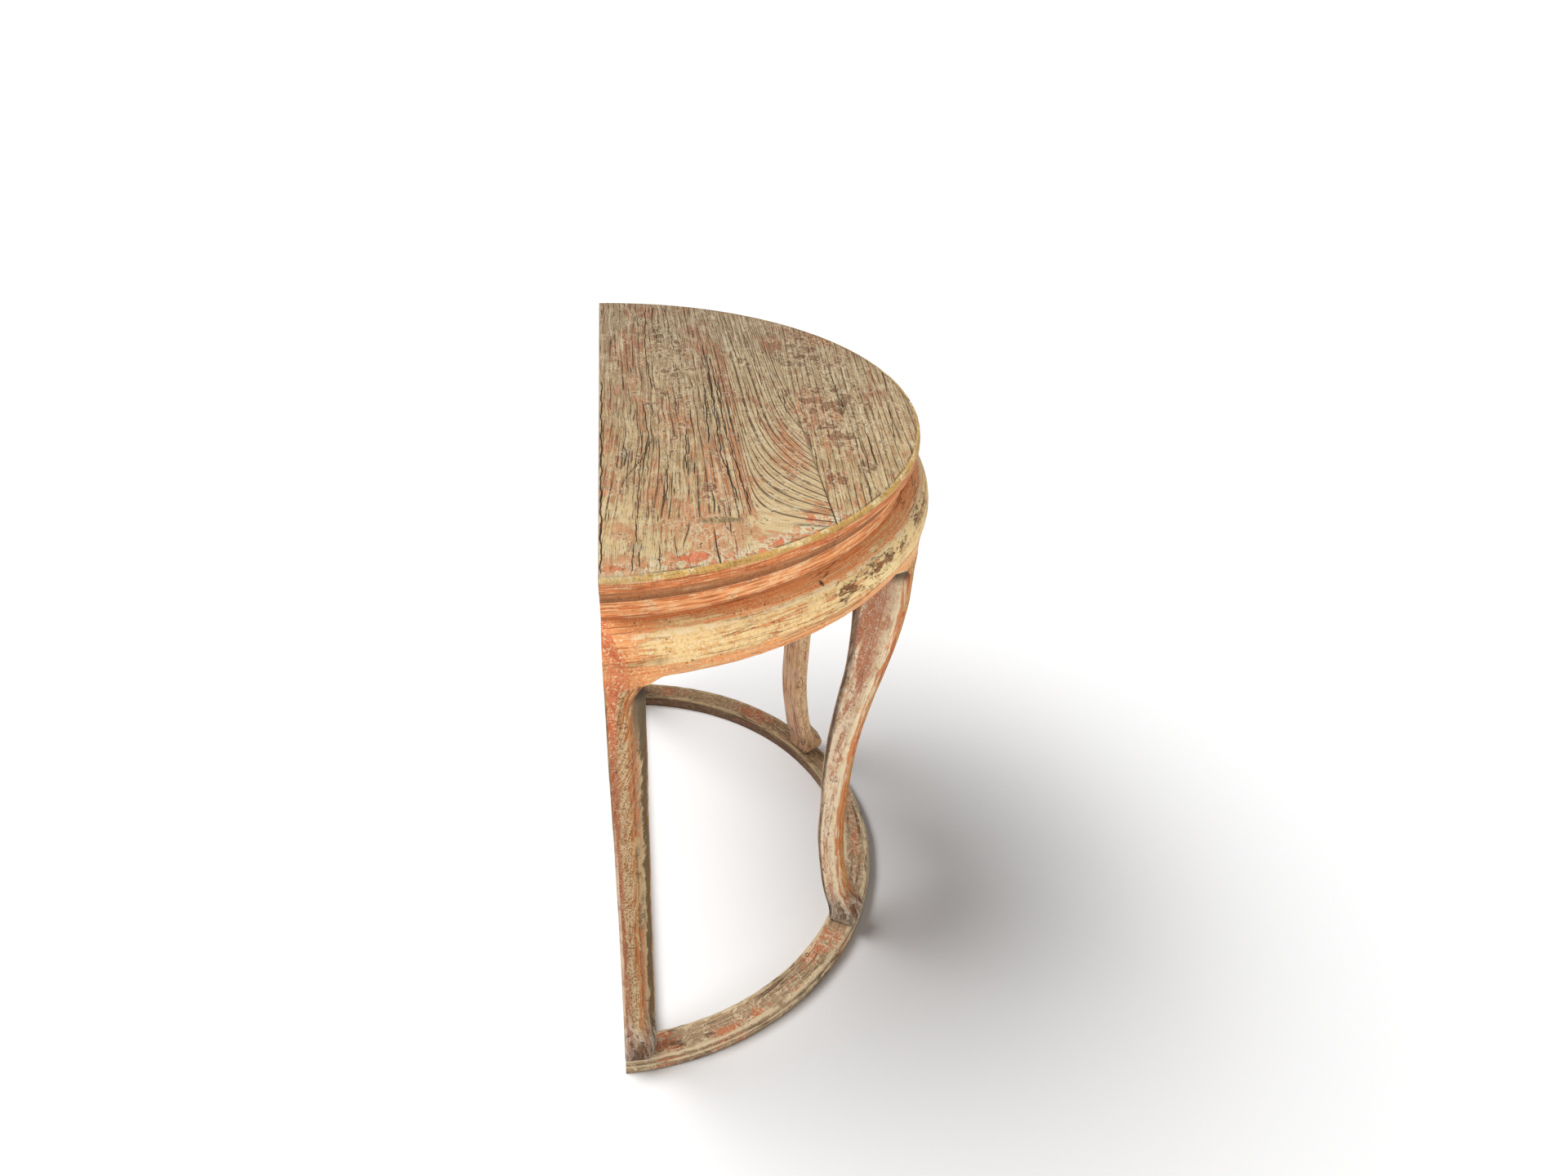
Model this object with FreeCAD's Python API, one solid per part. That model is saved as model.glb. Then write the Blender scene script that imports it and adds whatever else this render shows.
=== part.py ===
"""A half-round wall table of old painted elm, as separate jointed pieces.

Half-disc top of two boards with a moulded rim, a recessed waist, a swelling apron, S-curved legs
with out-turned feet, and a floor stretcher that follows the top's outline.

Lengths are millimetres. The pieces are drawn round the half circle's centre, which lies on the flat
back at floor level, with the bow towards -Y, and are moved at the end so that the origin is the
middle of the footprint. Angles run anticlockwise seen from above, from +X.
"""
import FreeCAD, Part
import math
import os

from FreeCAD import Vector

# Overall sizes
HEIGHT = 860.0
TOP_RADIUS = 450.0

# Top: two boards, moulded along the bow
TOP_THICKNESS = 38.0
RIM_ARRIS = 5.0
RIM_FACE = 12.0
RIM_COVE_REACH = 13.0
RIM_COVE_HOLLOW = 4.0
FRONT_BOARD_WIDTH = 174.0
SEAM_TONGUE_WIDTH = 24.0
SEAM_TONGUE_THICKNESS = 8.0
SEAM_TONGUE_STOP = 45.0

# Battens in dovetail grooves across the underside of the top
BATTEN_SPACING = 240.0
BATTEN_WIDTH = 40.0
BATTEN_DROP = 24.0
BATTEN_FRONT_GAP = 36.0
DOVETAIL_NECK = 28.0
DOVETAIL_HEAD = 36.0
DOVETAIL_HEIGHT = 10.0

# Waist strips under the rim
WAIST_SET_BACK = 17.0
WAIST_HEIGHT = 25.0
WAIST_THICKNESS = 16.0

# Apron, a round swelling from the waist down to its lower edge
APRON_ROUND = 38.0
APRON_HEIGHT = 67.0

# Pins between waist and apron
WAIST_PIN_DIAMETER = 6.0
WAIST_PIN_LENGTH = 36.0
WAIST_PIN_SHARES = (0.2, 0.5, 0.8)

# Legs
FRONT_LEG_ANGLES = (240.0, 300.0)
LEG_WIDTH = 46.0
TONGUE_PROUD = 2.5
TONGUE_TIP_WIDTH = 8.0
FOOT_INSET = 3.0
LEG_SWING = 45.0
ANKLE_DEPTH = 33.0
KNEE_DEPTH = 79.0
OUTER_CHAMFER_ACROSS = 16.5
OUTER_CHAMFER_DEEP = 6.5
INNER_CHAMFER_ACROSS = 6.0
INNER_CHAMFER_DEEP = 5.0
LEG_BACK_ARRIS = 1.5
FOOT_TENON_WIDTH = 24.0
FOOT_TENON_DEPTH = 18.0
FOOT_TENON_LENGTH = 18.0
TOP_TENON_WIDTH = 28.0
TOP_TENON_DEPTH = 12.0
TOP_TENON_LENGTH = 18.0

# Leg stations from the foot up to the apron's lower edge: share of that height, share of the full
# swing that the outer face lies inside a straight line from toe to knee, share of the way from ankle
# depth to knee depth, and share of the full chamfers.
LEG_STATION_SHARES = (
    (0.000, 0.060, 0.150, 0.20),
    (0.017, -0.060, 0.270, 0.20),
    (0.044, 0.060, 0.240, 0.45),
    (0.079, 0.380, 0.110, 0.85),
    (0.122, 0.635, 0.020, 1.00),
    (0.171, 0.812, 0.000, 1.00),
    (0.249, 0.970, 0.000, 1.00),
    (0.348, 1.000, 0.022, 1.00),
    (0.448, 0.980, 0.120, 1.00),
    (0.547, 0.869, 0.217, 1.00),
    (0.646, 0.640, 0.348, 1.00),
    (0.745, 0.333, 0.500, 1.00),
    (0.830, 0.119, 0.696, 1.00),
    (0.911, 0.002, 0.891, 1.00),
    (0.958, 0.000, 0.958, 1.00),
    (0.984, 0.000, 0.986, 0.68),
    (1.000, 0.000, 1.000, 0.10),
)

# Straight rail behind the top, between the back legs
BACK_RAIL_THICKNESS = 20.0
BACK_RAIL_HEIGHT = 78.0
BACK_RAIL_INSET = 2.0
BACK_TENON_LENGTH = 22.0
BACK_TENON_THICKNESS = 10.0
BACK_TENON_HEIGHT = 50.0

# Floor stretcher: a half ring of three lapped lengths, closed by a straight rail at the back
BASE_RADIUS = 446.0
BASE_WIDTH = 46.0
BASE_HEIGHT = 24.0
BASE_STEP_HEIGHT = 14.0
BASE_STEP_REACH = 3.0
BASE_ROUND = 3.0
BASE_LAP_LENGTH = 70.0
LAP_PIN_DIAMETER = 8.0
LAP_PIN_SPACING = 48.0
LAP_PIN_COVER = 4.0
BASE_RAIL_WIDTH = 40.0
BASE_TENON_LENGTH = 20.0
BASE_TENON_WIDTH = 20.0
BASE_TENON_HEIGHT = 10.0

# Clearance round tenons and behind curved laps, and the overrun of every cut
FIT = 0.2
OVERRUN = 20.0

# Places worked out from the sizes above
LEFT_END_ANGLE = 180.0
RIGHT_END_ANGLE = 360.0
BACK_BOARD_WIDTH = TOP_RADIUS - FRONT_BOARD_WIDTH
TOP_UNDERSIDE = HEIGHT - TOP_THICKNESS
APRON_TOP = TOP_UNDERSIDE - WAIST_HEIGHT
APRON_LOW = APRON_TOP - APRON_HEIGHT
WAIST_RADIUS = TOP_RADIUS - WAIST_SET_BACK
APRON_INNER = WAIST_RADIUS - WAIST_THICKNESS
SWELL_HEIGHT = APRON_TOP - APRON_ROUND
SWELL_REACH = WAIST_RADIUS + APRON_ROUND
KNEE_REACH = SWELL_REACH + TONGUE_PROUD
FOOT_REACH = BASE_RADIUS - FOOT_INSET
POST_INNER = KNEE_REACH - KNEE_DEPTH
POST_OUTER = APRON_INNER - FIT
BASE_INNER = BASE_RADIUS - BASE_WIDTH
BASE_MIDDLE = (BASE_RADIUS + BASE_INNER) / 2
LAP_HALF_ANGLE = math.degrees(BASE_LAP_LENGTH / 2 / BASE_MIDDLE)
SEGMENT_ANGLES = (LEFT_END_ANGLE,) + FRONT_LEG_ANGLES + (RIGHT_END_ANGLE,)
SEGMENT_NAMES = ("left", "front", "right")
BACK_PLANE = SWELL_REACH / 2
UP = Vector(0, 0, 1)
CENTRE = Vector(0, 0, 0)


def box(low, high):
    """A box between two corners."""
    return Part.makeBox(high[0] - low[0], high[1] - low[1], high[2] - low[2], Vector(*low))


def pin(x, y, low, height, diameter):
    """An upright round pin."""
    return Part.makeCylinder(diameter / 2, height, Vector(x, y, low), UP)


def on_arc(reach, angle):
    """The point in plan at that reach from the centre, in that direction."""
    turn = math.radians(angle)
    return reach * math.cos(turn), reach * math.sin(turn)


def swept(outline, start, end):
    """Turns a closed outline of edges, drawn in the XZ plane, from one angle round to another."""
    face = Part.Face(Part.Wire(outline))
    solid = face.revolve(CENTRE, UP, end - start)
    solid.rotate(CENTRE, UP, start)
    return solid


def lines(points):
    """Straight edges through points given as (reach, height)."""
    ends = [Vector(reach, 0, height) for reach, height in points]
    return [Part.makeLine(a, b) for a, b in zip(ends, ends[1:])]


def arc(first, middle, last):
    """An arc edge through three points given as (reach, height)."""
    return Part.Arc(*[Vector(reach, 0, height) for reach, height in (first, middle, last)]).toShape()


def quarter(centre, radius, degrees):
    """The point of a circle in the XZ plane at that angle."""
    turn = math.radians(degrees)
    return centre[0] + radius * math.cos(turn), centre[1] + radius * math.sin(turn)


class Leg:
    """Where a leg stands: its outward direction, and its edges across that direction."""

    def __init__(self, angle, low_edge, high_edge):
        turn = math.radians(angle)
        self.out = Vector(math.cos(turn), math.sin(turn), 0)
        self.across = Vector(math.sin(turn), -math.cos(turn), 0)
        self.angle = angle
        self.low_edge = low_edge
        self.high_edge = high_edge

    def at(self, reach, across, height):
        return self.out * reach + self.across * across + UP * height

    def is_back(self, edge):
        """True for an edge that lies in the table's flat back."""
        return edge == 0

    def prism(self, reach_from, reach_to, outline):
        """An outline given as (across, height) points, carried from one reach to another."""
        points = [self.at(reach_from, across, height) for across, height in outline]
        face = Part.Face(Part.makePolygon(points + points[:1]))
        return face.extrude(self.out * (reach_to - reach_from))

    def block(self, reach_from, reach_to, across_from, across_to, low, high):
        """A box square to the leg."""
        corners = ((across_from, low), (across_to, low), (across_to, high), (across_from, high))
        return self.prism(reach_from, reach_to, corners)

    def middle(self):
        return (self.low_edge + self.high_edge) / 2


LEGS = {
    "back_left": Leg(LEFT_END_ANGLE, -LEG_WIDTH, 0.0),
    "front_left": Leg(FRONT_LEG_ANGLES[0], -LEG_WIDTH / 2, LEG_WIDTH / 2),
    "front_right": Leg(FRONT_LEG_ANGLES[1], -LEG_WIDTH / 2, LEG_WIDTH / 2),
    "back_right": Leg(RIGHT_END_ANGLE, 0.0, LEG_WIDTH),
}


FRONT_LEGS = ("front_left", "front_right")


def leg_section(leg, height, outer, depth, chamfer_share):
    """One level cut through a leg: a rectangle with its corners taken off, but hardly at the flat back."""
    inner = outer - depth
    corners = []
    for edge, inward in ((leg.low_edge, 1), (leg.high_edge, -1)):
        if leg.is_back(edge):
            outer_across = outer_deep = inner_across = inner_deep = LEG_BACK_ARRIS
        else:
            outer_across, outer_deep = OUTER_CHAMFER_ACROSS * chamfer_share, OUTER_CHAMFER_DEEP * chamfer_share
            inner_across, inner_deep = INNER_CHAMFER_ACROSS * chamfer_share, INNER_CHAMFER_DEEP * chamfer_share
        corners.append([(outer, edge + inward * outer_across), (outer - outer_deep, edge),
                        (inner + inner_deep, edge), (inner, edge + inward * inner_across)])
    low_side, high_side = corners
    points = [leg.at(reach, across, height) for reach, across in high_side + low_side[::-1]]
    return Part.makePolygon(points + points[:1])


def leg_shaft(leg):
    """The S-curved part of a leg, from the stretcher up to the apron's lower edge."""
    rise = APRON_LOW - BASE_HEIGHT
    sections = []
    for height_share, swing_share, depth_share, chamfer_share in LEG_STATION_SHARES:
        straight = FOOT_REACH + height_share * (KNEE_REACH - FOOT_REACH)
        outer = straight - swing_share * LEG_SWING
        depth = ANKLE_DEPTH + depth_share * (KNEE_DEPTH - ANKLE_DEPTH)
        height = BASE_HEIGHT + height_share * rise
        sections.append(leg_section(leg, height, outer, depth, chamfer_share))
    return Part.makeLoft(sections, True, False)


def shoulder_outline(leg):
    """The pointed tongue of a leg's shoulder, as (across, height): slanted where an apron meets it."""
    tip_low = leg.low_edge if leg.is_back(leg.low_edge) else leg.middle() - TONGUE_TIP_WIDTH / 2
    tip_high = leg.high_edge if leg.is_back(leg.high_edge) else leg.middle() + TONGUE_TIP_WIDTH / 2
    if leg.is_back(leg.low_edge):
        tip_high = leg.low_edge + TONGUE_TIP_WIDTH
    if leg.is_back(leg.high_edge):
        tip_low = leg.high_edge - TONGUE_TIP_WIDTH
    return ((leg.low_edge, APRON_LOW), (leg.high_edge, APRON_LOW), (tip_high, APRON_TOP), (tip_low, APRON_TOP))


def leg_tongue(leg):
    """The shoulder tongue, rounded over like the apron but standing a little proud of it."""
    wedge = leg.prism(POST_INNER, KNEE_REACH + OVERRUN, shoulder_outline(leg))
    centre = (WAIST_RADIUS, SWELL_HEIGHT)
    radius = APRON_ROUND + TONGUE_PROUD
    lift = math.degrees(math.asin(APRON_ROUND / radius))
    crown = quarter(centre, radius, lift)
    side = quarter(centre, radius, 0)
    outline = lines([crown, (POST_INNER, APRON_TOP), (POST_INNER, APRON_LOW), (side[0], APRON_LOW), side])
    outline.append(arc(side, quarter(centre, radius, lift / 2), crown))
    face = Part.Face(Part.Wire(outline))
    slab = face.extrude(Vector(0, LEG_WIDTH + 2 * OVERRUN, 0))
    slab.translate(Vector(0, -LEG_WIDTH / 2 - OVERRUN, 0))
    slab.rotate(CENTRE, UP, leg.angle)
    slab.translate(leg.across * leg.middle())
    return wedge.common(slab)


def apron_low_reach():
    """How far the apron's lower edge stands out from the waist."""
    drop = SWELL_HEIGHT - APRON_LOW
    return math.sqrt(APRON_ROUND ** 2 - drop ** 2)


def foot_tenon(leg, clearance):
    """The tenon under a foot, or with clearance its mortise in the stretcher."""
    middle = leg.middle()
    return leg.block(
        BASE_MIDDLE - FOOT_TENON_DEPTH / 2 - clearance, BASE_MIDDLE + FOOT_TENON_DEPTH / 2 + clearance,
        middle - FOOT_TENON_WIDTH / 2 - clearance, middle + FOOT_TENON_WIDTH / 2 + clearance,
        BASE_HEIGHT - FOOT_TENON_LENGTH - clearance, BASE_HEIGHT)


def top_tenon(leg, clearance):
    """The tenon on a leg's post, or with clearance its mortise in the top."""
    reach = (POST_INNER + POST_OUTER) / 2
    middle = leg.middle()
    return leg.block(
        reach - TOP_TENON_DEPTH / 2 - clearance, reach + TOP_TENON_DEPTH / 2 + clearance,
        middle - TOP_TENON_WIDTH / 2 - clearance, middle + TOP_TENON_WIDTH / 2 + clearance,
        TOP_UNDERSIDE, TOP_UNDERSIDE + TOP_TENON_LENGTH + clearance)


def make_leg(leg):
    """A leg in one piece: shaft, foot tenon, pointed shoulder, post and top tenon."""
    post = leg.block(POST_INNER, KNEE_REACH, leg.low_edge, leg.high_edge, APRON_LOW, TOP_UNDERSIDE)
    post = post.common(Part.makeCylinder(POST_OUTER, HEIGHT))
    pieces = [leg_tongue(leg), post, foot_tenon(leg, 0), top_tenon(leg, 0)]
    solid = leg_shaft(leg).multiFuse(pieces).removeSplitter()
    if leg.is_back(leg.low_edge) or leg.is_back(leg.high_edge):
        solid = solid.cut(back_rail_tenon(leg, FIT))
    return solid


def back_rail_tenon(leg, clearance):
    """The back rail's tenon at one end, or with clearance its mortise in the back leg."""
    away = 1 if leg.out.x > 0 else -1
    middle = -BACK_RAIL_INSET - BACK_RAIL_THICKNESS / 2
    half = BACK_TENON_THICKNESS / 2 + clearance
    centre = TOP_UNDERSIDE - BACK_RAIL_HEIGHT / 2
    low, high = centre - BACK_TENON_HEIGHT / 2 - clearance, centre + BACK_TENON_HEIGHT / 2 + clearance
    near, far = sorted((away * POST_INNER, away * (POST_INNER + BACK_TENON_LENGTH + clearance)))
    return box((near, middle - half, low), (far, middle + half, high))


def make_back_rail():
    """The straight rail under the back edge of the top, tenoned into the back legs."""
    rail = box((-POST_INNER, -BACK_RAIL_INSET - BACK_RAIL_THICKNESS, TOP_UNDERSIDE - BACK_RAIL_HEIGHT),
               (POST_INNER, -BACK_RAIL_INSET, TOP_UNDERSIDE))
    tenons = [back_rail_tenon(LEGS[name], 0) for name in ("back_left", "back_right")]
    return rail.multiFuse(tenons).removeSplitter()


def half_disc():
    """The whole top before it is cut into boards, with its moulded rim."""
    cove_reach = TOP_RADIUS - RIM_COVE_REACH
    face_low = HEIGHT - RIM_ARRIS - RIM_FACE
    arris = (TOP_RADIUS - RIM_ARRIS, HEIGHT - RIM_ARRIS)
    rise, run = face_low - TOP_UNDERSIDE, RIM_COVE_REACH
    slant = math.hypot(rise, run)
    hollow = (TOP_RADIUS - run / 2 - RIM_COVE_HOLLOW * rise / slant,
              (face_low + TOP_UNDERSIDE) / 2 + RIM_COVE_HOLLOW * run / slant)
    outline = lines([(0, HEIGHT), (0, TOP_UNDERSIDE), (cove_reach, TOP_UNDERSIDE)])
    outline.append(arc((cove_reach, TOP_UNDERSIDE), hollow, (TOP_RADIUS, face_low)))
    outline += lines([(TOP_RADIUS, face_low), (TOP_RADIUS, HEIGHT - RIM_ARRIS)])
    outline.append(arc((TOP_RADIUS, HEIGHT - RIM_ARRIS), quarter(arris, RIM_ARRIS, 45), (arris[0], HEIGHT)))
    outline += lines([(arris[0], HEIGHT), (0, HEIGHT)])
    return swept(outline, LEFT_END_ANGLE, RIGHT_END_ANGLE)


def seam_tongue(clearance):
    """The loose tongue in the seam between the boards, or with clearance its two grooves."""
    half_chord = math.sqrt((TOP_RADIUS - RIM_COVE_REACH) ** 2 - BACK_BOARD_WIDTH ** 2) - SEAM_TONGUE_STOP + clearance
    half_width = SEAM_TONGUE_WIDTH / 2 + clearance
    half_thick = SEAM_TONGUE_THICKNESS / 2 + clearance
    middle = HEIGHT - TOP_THICKNESS / 2
    return box((-half_chord, -BACK_BOARD_WIDTH - half_width, middle - half_thick),
               (half_chord, -BACK_BOARD_WIDTH + half_width, middle + half_thick))


def batten(side, clearance):
    """A batten with its dovetail, or with clearance the dovetail groove that it slides along."""
    middle = side * BATTEN_SPACING / 2
    back = -BACK_RAIL_INSET - BACK_RAIL_THICKNESS
    front = -math.sqrt(APRON_INNER ** 2 - (BATTEN_SPACING / 2 + BATTEN_WIDTH / 2) ** 2) + BATTEN_FRONT_GAP
    neck, head = DOVETAIL_NECK / 2 + clearance, DOVETAIL_HEAD / 2 + clearance
    top = TOP_UNDERSIDE + DOVETAIL_HEIGHT + clearance
    corners = [Vector(middle + x, back + clearance, z)
               for x, z in ((-neck, TOP_UNDERSIDE), (neck, TOP_UNDERSIDE), (head, top), (-head, top))]
    face = Part.Face(Part.makePolygon(corners + corners[:1]))
    dovetail = face.extrude(Vector(0, front - back - 2 * clearance, 0))
    if clearance:
        return dovetail
    bar = box((middle - BATTEN_WIDTH / 2, front, TOP_UNDERSIDE - BATTEN_DROP),
              (middle + BATTEN_WIDTH / 2, back, TOP_UNDERSIDE))
    return bar.fuse(dovetail).removeSplitter()


def make_boards():
    """The two boards of the top, grooved and mortised for what they hold."""
    disc = half_disc()
    cuts = [seam_tongue(FIT)]
    cuts += [batten(side, FIT) for side in (-1, 1)]
    cuts += [top_tenon(leg, FIT) for leg in LEGS.values()]
    for cut in cuts:
        disc = disc.cut(cut)
    reach = TOP_RADIUS + OVERRUN
    behind = box((-reach, -BACK_BOARD_WIDTH, 0), (reach, reach, HEIGHT + OVERRUN))
    return disc.common(behind), disc.cut(behind)


def waist_pins(index):
    """The upright pins between one length of waist and the apron under it."""
    start, end = SEGMENT_ANGLES[index], SEGMENT_ANGLES[index + 1]
    reach = (WAIST_RADIUS + APRON_INNER) / 2
    low = APRON_TOP - WAIST_PIN_LENGTH / 2
    return [pin(*on_arc(reach, start + share * (end - start)), low, WAIST_PIN_LENGTH, WAIST_PIN_DIAMETER)
            for share in WAIST_PIN_SHARES]


def make_waist(index):
    """One length of the waist, bored for its pins."""
    outline = lines([(APRON_INNER, APRON_TOP), (WAIST_RADIUS, APRON_TOP), (WAIST_RADIUS, TOP_UNDERSIDE),
                     (APRON_INNER, TOP_UNDERSIDE), (APRON_INNER, APRON_TOP)])
    strip = swept(outline, SEGMENT_ANGLES[index], SEGMENT_ANGLES[index + 1])
    return strip.cut(Part.makeCompound(waist_pins(index)))


def make_apron(index):
    """One length of the apron, cut back at its ends for the leg shoulders and bored for its pins."""
    centre = (WAIST_RADIUS, SWELL_HEIGHT)
    crown = (WAIST_RADIUS, APRON_TOP)
    lower = (WAIST_RADIUS + apron_low_reach(), APRON_LOW)
    outline = lines([crown, (APRON_INNER, APRON_TOP), (APRON_INNER, APRON_LOW), lower])
    outline.append(arc(lower, quarter(centre, APRON_ROUND, 0), crown))
    length = swept(outline, SEGMENT_ANGLES[index], SEGMENT_ANGLES[index + 1])
    ends = list(LEGS.values())[index:index + 2]
    for leg in ends:
        length = length.cut(leg.prism(POST_INNER, KNEE_REACH + OVERRUN, shoulder_outline(leg)))
    return length.cut(Part.makeCompound(waist_pins(index)))


def base_outline():
    """The stretcher's section, with a stepped and rounded outer edge."""
    step = BASE_RADIUS - BASE_STEP_REACH
    shoulder = (step - BASE_ROUND, BASE_HEIGHT - BASE_ROUND)
    outline = lines([(shoulder[0], BASE_HEIGHT), (BASE_INNER, BASE_HEIGHT), (BASE_INNER, 0), (BASE_RADIUS, 0),
                     (BASE_RADIUS, BASE_STEP_HEIGHT), (step, BASE_STEP_HEIGHT), (step, shoulder[1])])
    outline.append(arc((step, shoulder[1]), quarter(shoulder, BASE_ROUND, 45), (shoulder[0], BASE_HEIGHT)))
    return outline


def lap_pins(name):
    """The two pins through one lap of the stretcher, one each side of the foot tenon."""
    places = [LEGS[name].at(BASE_MIDDLE, side * LAP_PIN_SPACING / 2, 0) for side in (-1, 1)]
    return [pin(place.x, place.y, LAP_PIN_COVER, BASE_HEIGHT - 2 * LAP_PIN_COVER, LAP_PIN_DIAMETER)
            for place in places]


def base_rail_tenon(side, clearance):
    """The floor rail's tenon at one end, or with clearance its mortise in the half ring."""
    middle = -BASE_RAIL_WIDTH / 2
    half = BASE_TENON_WIDTH / 2 + clearance
    low = (BASE_HEIGHT - BASE_TENON_HEIGHT) / 2 - clearance
    root = math.sqrt(BASE_INNER ** 2 - BASE_RAIL_WIDTH ** 2)
    near, far = sorted((side * root, side * (BASE_INNER + BASE_TENON_LENGTH + clearance)))
    return box((near, middle - half, low), (far, middle + half, BASE_HEIGHT - low))


def make_base(index):
    """One length of the half ring: the middle one laps over the two end ones under the front legs."""
    outline = base_outline()
    start, end = SEGMENT_ANGLES[index], SEGMENT_ANGLES[index + 1]
    laps_start, laps_end = index > 0, index < len(SEGMENT_NAMES) - 1
    over = laps_start and laps_end
    long_start = start - LAP_HALF_ANGLE if laps_start else start
    long_end = end + LAP_HALF_ANGLE if laps_end else end
    short_start = start + LAP_HALF_ANGLE if laps_start else start
    short_end = end - LAP_HALF_ANGLE if laps_end else end
    reach = BASE_RADIUS + OVERRUN
    upper = box((-reach, -reach, BASE_HEIGHT / 2), (reach, reach, BASE_HEIGHT + OVERRUN))
    long_half = swept(outline, long_start, long_end)
    long_half = long_half.common(upper) if over else long_half.cut(upper)
    length = swept(outline, short_start, short_end).fuse(long_half).removeSplitter()
    for leg in list(LEGS.values())[index:index + 2]:
        length = length.cut(foot_tenon(leg, FIT))
    for name in FRONT_LEGS:
        length = length.cut(Part.makeCompound(lap_pins(name)))
    if not over:
        length = length.cut(base_rail_tenon(-1 if index == 0 else 1, FIT))
    return length


def make_base_rail():
    """The straight floor rail along the back, scribed to the half ring and tenoned into it."""
    rail = box((-BASE_INNER, -BASE_RAIL_WIDTH, 0), (BASE_INNER, 0, BASE_HEIGHT))
    rail = rail.common(Part.makeCylinder(BASE_INNER - FIT, BASE_HEIGHT))
    return rail.multiFuse([base_rail_tenon(side, 0) for side in (-1, 1)]).removeSplitter()


def all_pieces():
    """Every piece of the table by name."""
    back_board, front_board = make_boards()
    pieces = {
        "top_back_board": back_board,
        "top_front_board": front_board,
        "top_seam_tongue": seam_tongue(0),
        "top_batten_left": batten(-1, 0),
        "top_batten_right": batten(1, 0),
        "back_rail": make_back_rail(),
        "base_back_rail": make_base_rail(),
        "waist_pins": Part.makeCompound([p for i in range(len(SEGMENT_NAMES)) for p in waist_pins(i)]),
        "base_lap_pins": Part.makeCompound([p for name in FRONT_LEGS for p in lap_pins(name)]),
    }
    for index, name in enumerate(SEGMENT_NAMES):
        pieces["waist_" + name] = make_waist(index)
        pieces["apron_" + name] = make_apron(index)
        pieces["base_" + name] = make_base(index)
    for name, leg in LEGS.items():
        pieces["leg_" + name] = make_leg(leg)
    return pieces


def main():
    os.makedirs("parts", exist_ok=True)
    for name, shape in all_pieces().items():
        shape.translate(Vector(0, BACK_PLANE, 0))
        shape.exportStep(os.path.join("parts", name + ".step"))
        print(f"{name}: {len(shape.Solids)} solids, valid {shape.isValid()}, {shape.Volume / 1000:.1f} cm3")


main()
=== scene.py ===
"""Half-round wall table of old painted elm: its visible pieces, their finishes, the light and the camera."""
import math

import bmesh
import bpy
import numpy as np
from mathutils import Matrix, Vector, noise


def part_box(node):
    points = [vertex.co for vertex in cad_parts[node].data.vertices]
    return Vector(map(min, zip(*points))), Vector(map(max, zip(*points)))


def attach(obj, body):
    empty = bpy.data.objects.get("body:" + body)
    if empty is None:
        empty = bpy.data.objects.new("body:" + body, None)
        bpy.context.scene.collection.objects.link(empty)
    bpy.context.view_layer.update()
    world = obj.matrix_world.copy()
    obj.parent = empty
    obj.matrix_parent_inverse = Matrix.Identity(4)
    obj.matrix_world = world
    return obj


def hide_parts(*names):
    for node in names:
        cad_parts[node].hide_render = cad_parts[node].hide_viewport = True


bl_info = {
    "name": "Half-Round Wall Table",
    "version": (1, 0, 0),
    "blender": (4, 5, 0),
    "location": "View3D > Sidebar > Table",
    "description": "Builds the pieces, finishes and stage of a half-round wall table of old painted elm",
    "category": "Object",
}

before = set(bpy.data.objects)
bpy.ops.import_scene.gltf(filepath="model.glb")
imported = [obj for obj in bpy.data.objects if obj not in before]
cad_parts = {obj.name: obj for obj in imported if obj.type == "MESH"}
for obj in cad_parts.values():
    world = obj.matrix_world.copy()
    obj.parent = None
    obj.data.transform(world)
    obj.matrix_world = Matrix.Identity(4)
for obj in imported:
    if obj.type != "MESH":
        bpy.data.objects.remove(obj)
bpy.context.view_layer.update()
MM = 0.001
# Lengths in metres: too small to matter, the gap that is welded shut, and the width of a sliver.
TINY = 1e-6
WELD_GAP = 0.00001
SLIVER_WIDTH = 0.000005
SIDES = ("left", "front", "right")

# Sizes read from the frame, in metres. Depths are measured forward from the back plane.
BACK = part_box("top_back_board")[1].y
TOP_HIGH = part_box("top_back_board")[1].z
TOP_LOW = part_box("waist_front")[1].z
TOP_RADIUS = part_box("top_back_board")[1].x
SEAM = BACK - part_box("top_front_board")[1].y
APRON_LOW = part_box("apron_front")[0].z
APRON_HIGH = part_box("waist_front")[0].z
BASE_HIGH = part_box("base_left")[1].z
BASE_RADIUS = -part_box("base_left")[0].x

# Where each curved length runs and each leg stands, in degrees round the half circle from the right end.
LENGTHS = {"left": (180.0, 240.0), "front": (240.0, 300.0), "right": (300.0, 360.0)}
LEGS = {"back_left": 180.0, "front_left": 240.0, "front_right": 300.0, "back_right": 360.0}

# How glossy every surface is.
GLOSS = 0.25


def linear(code):
    """A colour written as six hex digits, as linear red, green, blue and alpha."""
    parts = [int(code[k:k + 2], 16) / 255 for k in (0, 2, 4)]
    return tuple(p / 12.92 if p <= 0.04045 else ((p + 0.055) / 1.055) ** 2.4 for p in parts) + (1.0,)


def length(name, description, default):
    """A size in metres that a user may change."""
    return bpy.props.FloatProperty(name=name, description=description, default=default, min=0.0,
                                   unit="LENGTH")


def colour(name, description, code):
    """A colour that a user may change."""
    return bpy.props.FloatVectorProperty(name=name, description=description, default=linear(code), size=4,
                                         min=0.0, max=1.0, subtype="COLOR")


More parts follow.
